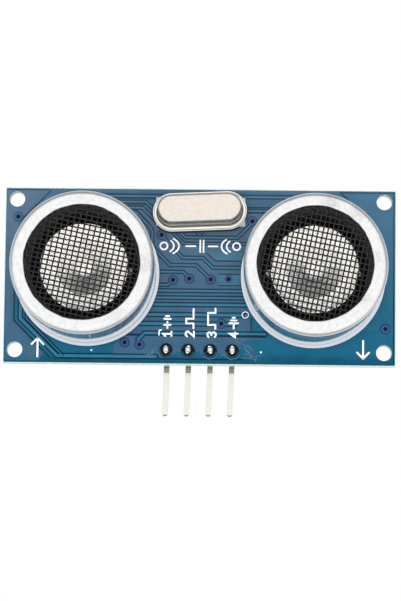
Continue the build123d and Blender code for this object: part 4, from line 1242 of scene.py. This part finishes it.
for nm, loop in (("back_pour_left", [(-22.3, 8.0), (-20.0, 8.0), (-18.9, 6.4), (-19.6, 5.6), (-19.9, 3.0), (-19.9, -3.0), (-18.8, -5.0), (-18.8, -7.4), (-16.5, -8.3), (-9.5, -8.3), (-9.5, -9.1), (-19.7, -9.1), (-20.1, -7.5), (-22.3, -7.5)]),
                 ("back_pour_right", [(22.3, 7.6), (20.4, 7.6), (20.2, 5.2), (19.8, 2.6), (19.8, -2.6), (20.9, -4.6), (22.3, -4.6)])):
    plate(nm, [grow(loop)] + [circle(x, z, 0.2, 20) for x, z in ALLV if inside(x, z, loop)], 0.02, 0.042, M["mask_pour"], "solder_mask", side="B", bevel=0.008)

# ------------------------------------------------------------------ stage, light, camera
def mm(*p):
    return Vector(p) * MM


import_cam = dict(rot=(-6.304, 0.641, 0.627), t=(-0.065, -2.863, 299.497), f=2595.4)


def camera():
    ax = Vector([math.radians(a) for a in import_cam["rot"]])
    R = Matrix.Rotation(ax.length, 3, ax.normalized())
    t = Vector(import_cam["t"])
    c = -(R.transposed() @ t)          # camera centre in the measuring frame: x right, y down, z into the board
    def conv(q):
        return Vector((q.x, q.z + FRONT, -q.y))
    def dirv(q):
        return Vector((q.x, q.z, -q.y))
    right = dirv(R.transposed() @ Vector((1, 0, 0))).normalized()
    down = dirv(R.transposed() @ Vector((0, 1, 0))).normalized()
    fwd = dirv(R.transposed() @ Vector((0, 0, 1))).normalized()
    up = -down
    m = Matrix((right, up, -fwd)).transposed().to_4x4()
    m.translation = conv(c) * MM
    cam = bpy.data.cameras.new("camera")
    cam.sensor_fit = "VERTICAL"
    cam.sensor_height = 36.0
    cam.lens = import_cam["f"] * 36.0 / 601.0
    cam.clip_start = 0.01
    cam.clip_end = 20
    ob = bpy.data.objects.new("camera", cam)
    scene.collection.objects.link(ob)
    ob.matrix_world = m
    scene.camera = ob
    return ob


cam = camera()

# floor: a wide pale sheet well below the pins
v, f = [], []
N = 48
for j, r in enumerate((0.0, 60.0, 140.0, 230.0)):
    for i in range(N):
        a = 2 * math.pi * i / N
        v.append((r * math.cos(a), r * math.sin(a), -260.0))
for j in range(3):
    for i in range(N):
        k = (i + 1) % N
        f.append((j * N + i, j * N + k, (j + 1) * N + k, (j + 1) * N + i))
floor_m = plain_mat("pale floor", (236, 236, 236), (242, 242, 242), 0.7, 0.02, 0.0)
fl = obj_from("floor", v, f, floor_m, None, ride=False, merge=0.01, recalc=False)

world = bpy.data.worlds.new("studio")
scene.world = world
world.use_nodes = True
wt = world.node_tree
wn = wt.nodes
wn.clear()
wo = wn.new("ShaderNodeOutputWorld")
bg = wn.new("ShaderNodeBackground")
wt.links.new(bg.outputs[0], wo.inputs["Surface"])
tc = wn.new("ShaderNodeTexCoord")


def wdot(k, lo, hi, a, b):
    """A soft patch of the studio, brightest towards direction k: a beyond lo, b inside hi."""
    d = wn.new("ShaderNodeVectorMath")
    d.operation = "DOT_PRODUCT"
    d.inputs[1].default_value = tuple(Vector(k).normalized())
    wt.links.new(tc.outputs["Generated"], d.inputs[0])
    m = wn.new("ShaderNodeMapRange")
    m.interpolation_type = "SMOOTHSTEP"
    m.inputs["From Min"].default_value = lo
    m.inputs["From Max"].default_value = hi
    m.inputs["To Min"].default_value = a
    m.inputs["To Max"].default_value = b
    wt.links.new(d.outputs["Value"], m.inputs["Value"])
    return m.outputs["Result"]


def wmath(op, x, y):
    m = wn.new("ShaderNodeMath")
    m.operation = op
    for i, v in enumerate((x, y)):
        if isinstance(v, (int, float)):
            m.inputs[i].default_value = v
        else:
            wt.links.new(v, m.inputs[i])
    return m.outputs[0]


def wmix(a, b, fac):
    m = wn.new("ShaderNodeMix")
    m.data_type = "FLOAT"
    for sock, v in ((m.inputs[2], a), (m.inputs[3], b), (m.inputs[0], fac)):
        if isinstance(v, (int, float)):
            sock.default_value = v
        else:
            wt.links.new(v, sock)
    return m.outputs[0]


# a large soft box in front, a pale sweep behind, and dimmer sides that are lighter below than above
front_box = wdot((0.0, -0.978, -0.208), 0.42, 0.76, 0.0, 1.0)
sweep = wdot((0, 1, 0), -0.02, 0.30, 0.0, 1.0)
sides = wdot((-0.2, 0, -1), -0.95, 0.95, 0.55, 1.05)
level = wmix(wmix(sides, 2.1, front_box), 1.0, sweep)
tint = wn.new("ShaderNodeMix")
tint.data_type = "RGBA"
wt.links.new(wmath("MAXIMUM", front_box, sweep), tint.inputs[0])
tint.inputs[6].default_value = (0.90, 0.97, 1.03, 1)
tint.inputs[7].default_value = (1, 1, 1, 1)
wt.links.new(tint.outputs[2], bg.inputs["Color"])
wt.links.new(level, bg.inputs["Strength"])


def area(name, pos, target, size, power, color=(1, 1, 1), size_y=None):
    L = bpy.data.lights.new(name, "AREA")
    L.shape = "RECTANGLE"
    L.size = size
    L.size_y = size_y or size
    L.energy = power
    L.color = color
    ob = bpy.data.objects.new(name, L)
    scene.collection.objects.link(ob)
    ob.location = pos
    ob.rotation_euler = (Vector(target) - Vector(pos)).to_track_quat("-Z", "Y").to_euler()
    return ob


area("key", (0.34, -0.26, -0.20), (0, 0, 0), 0.26, 0.08)
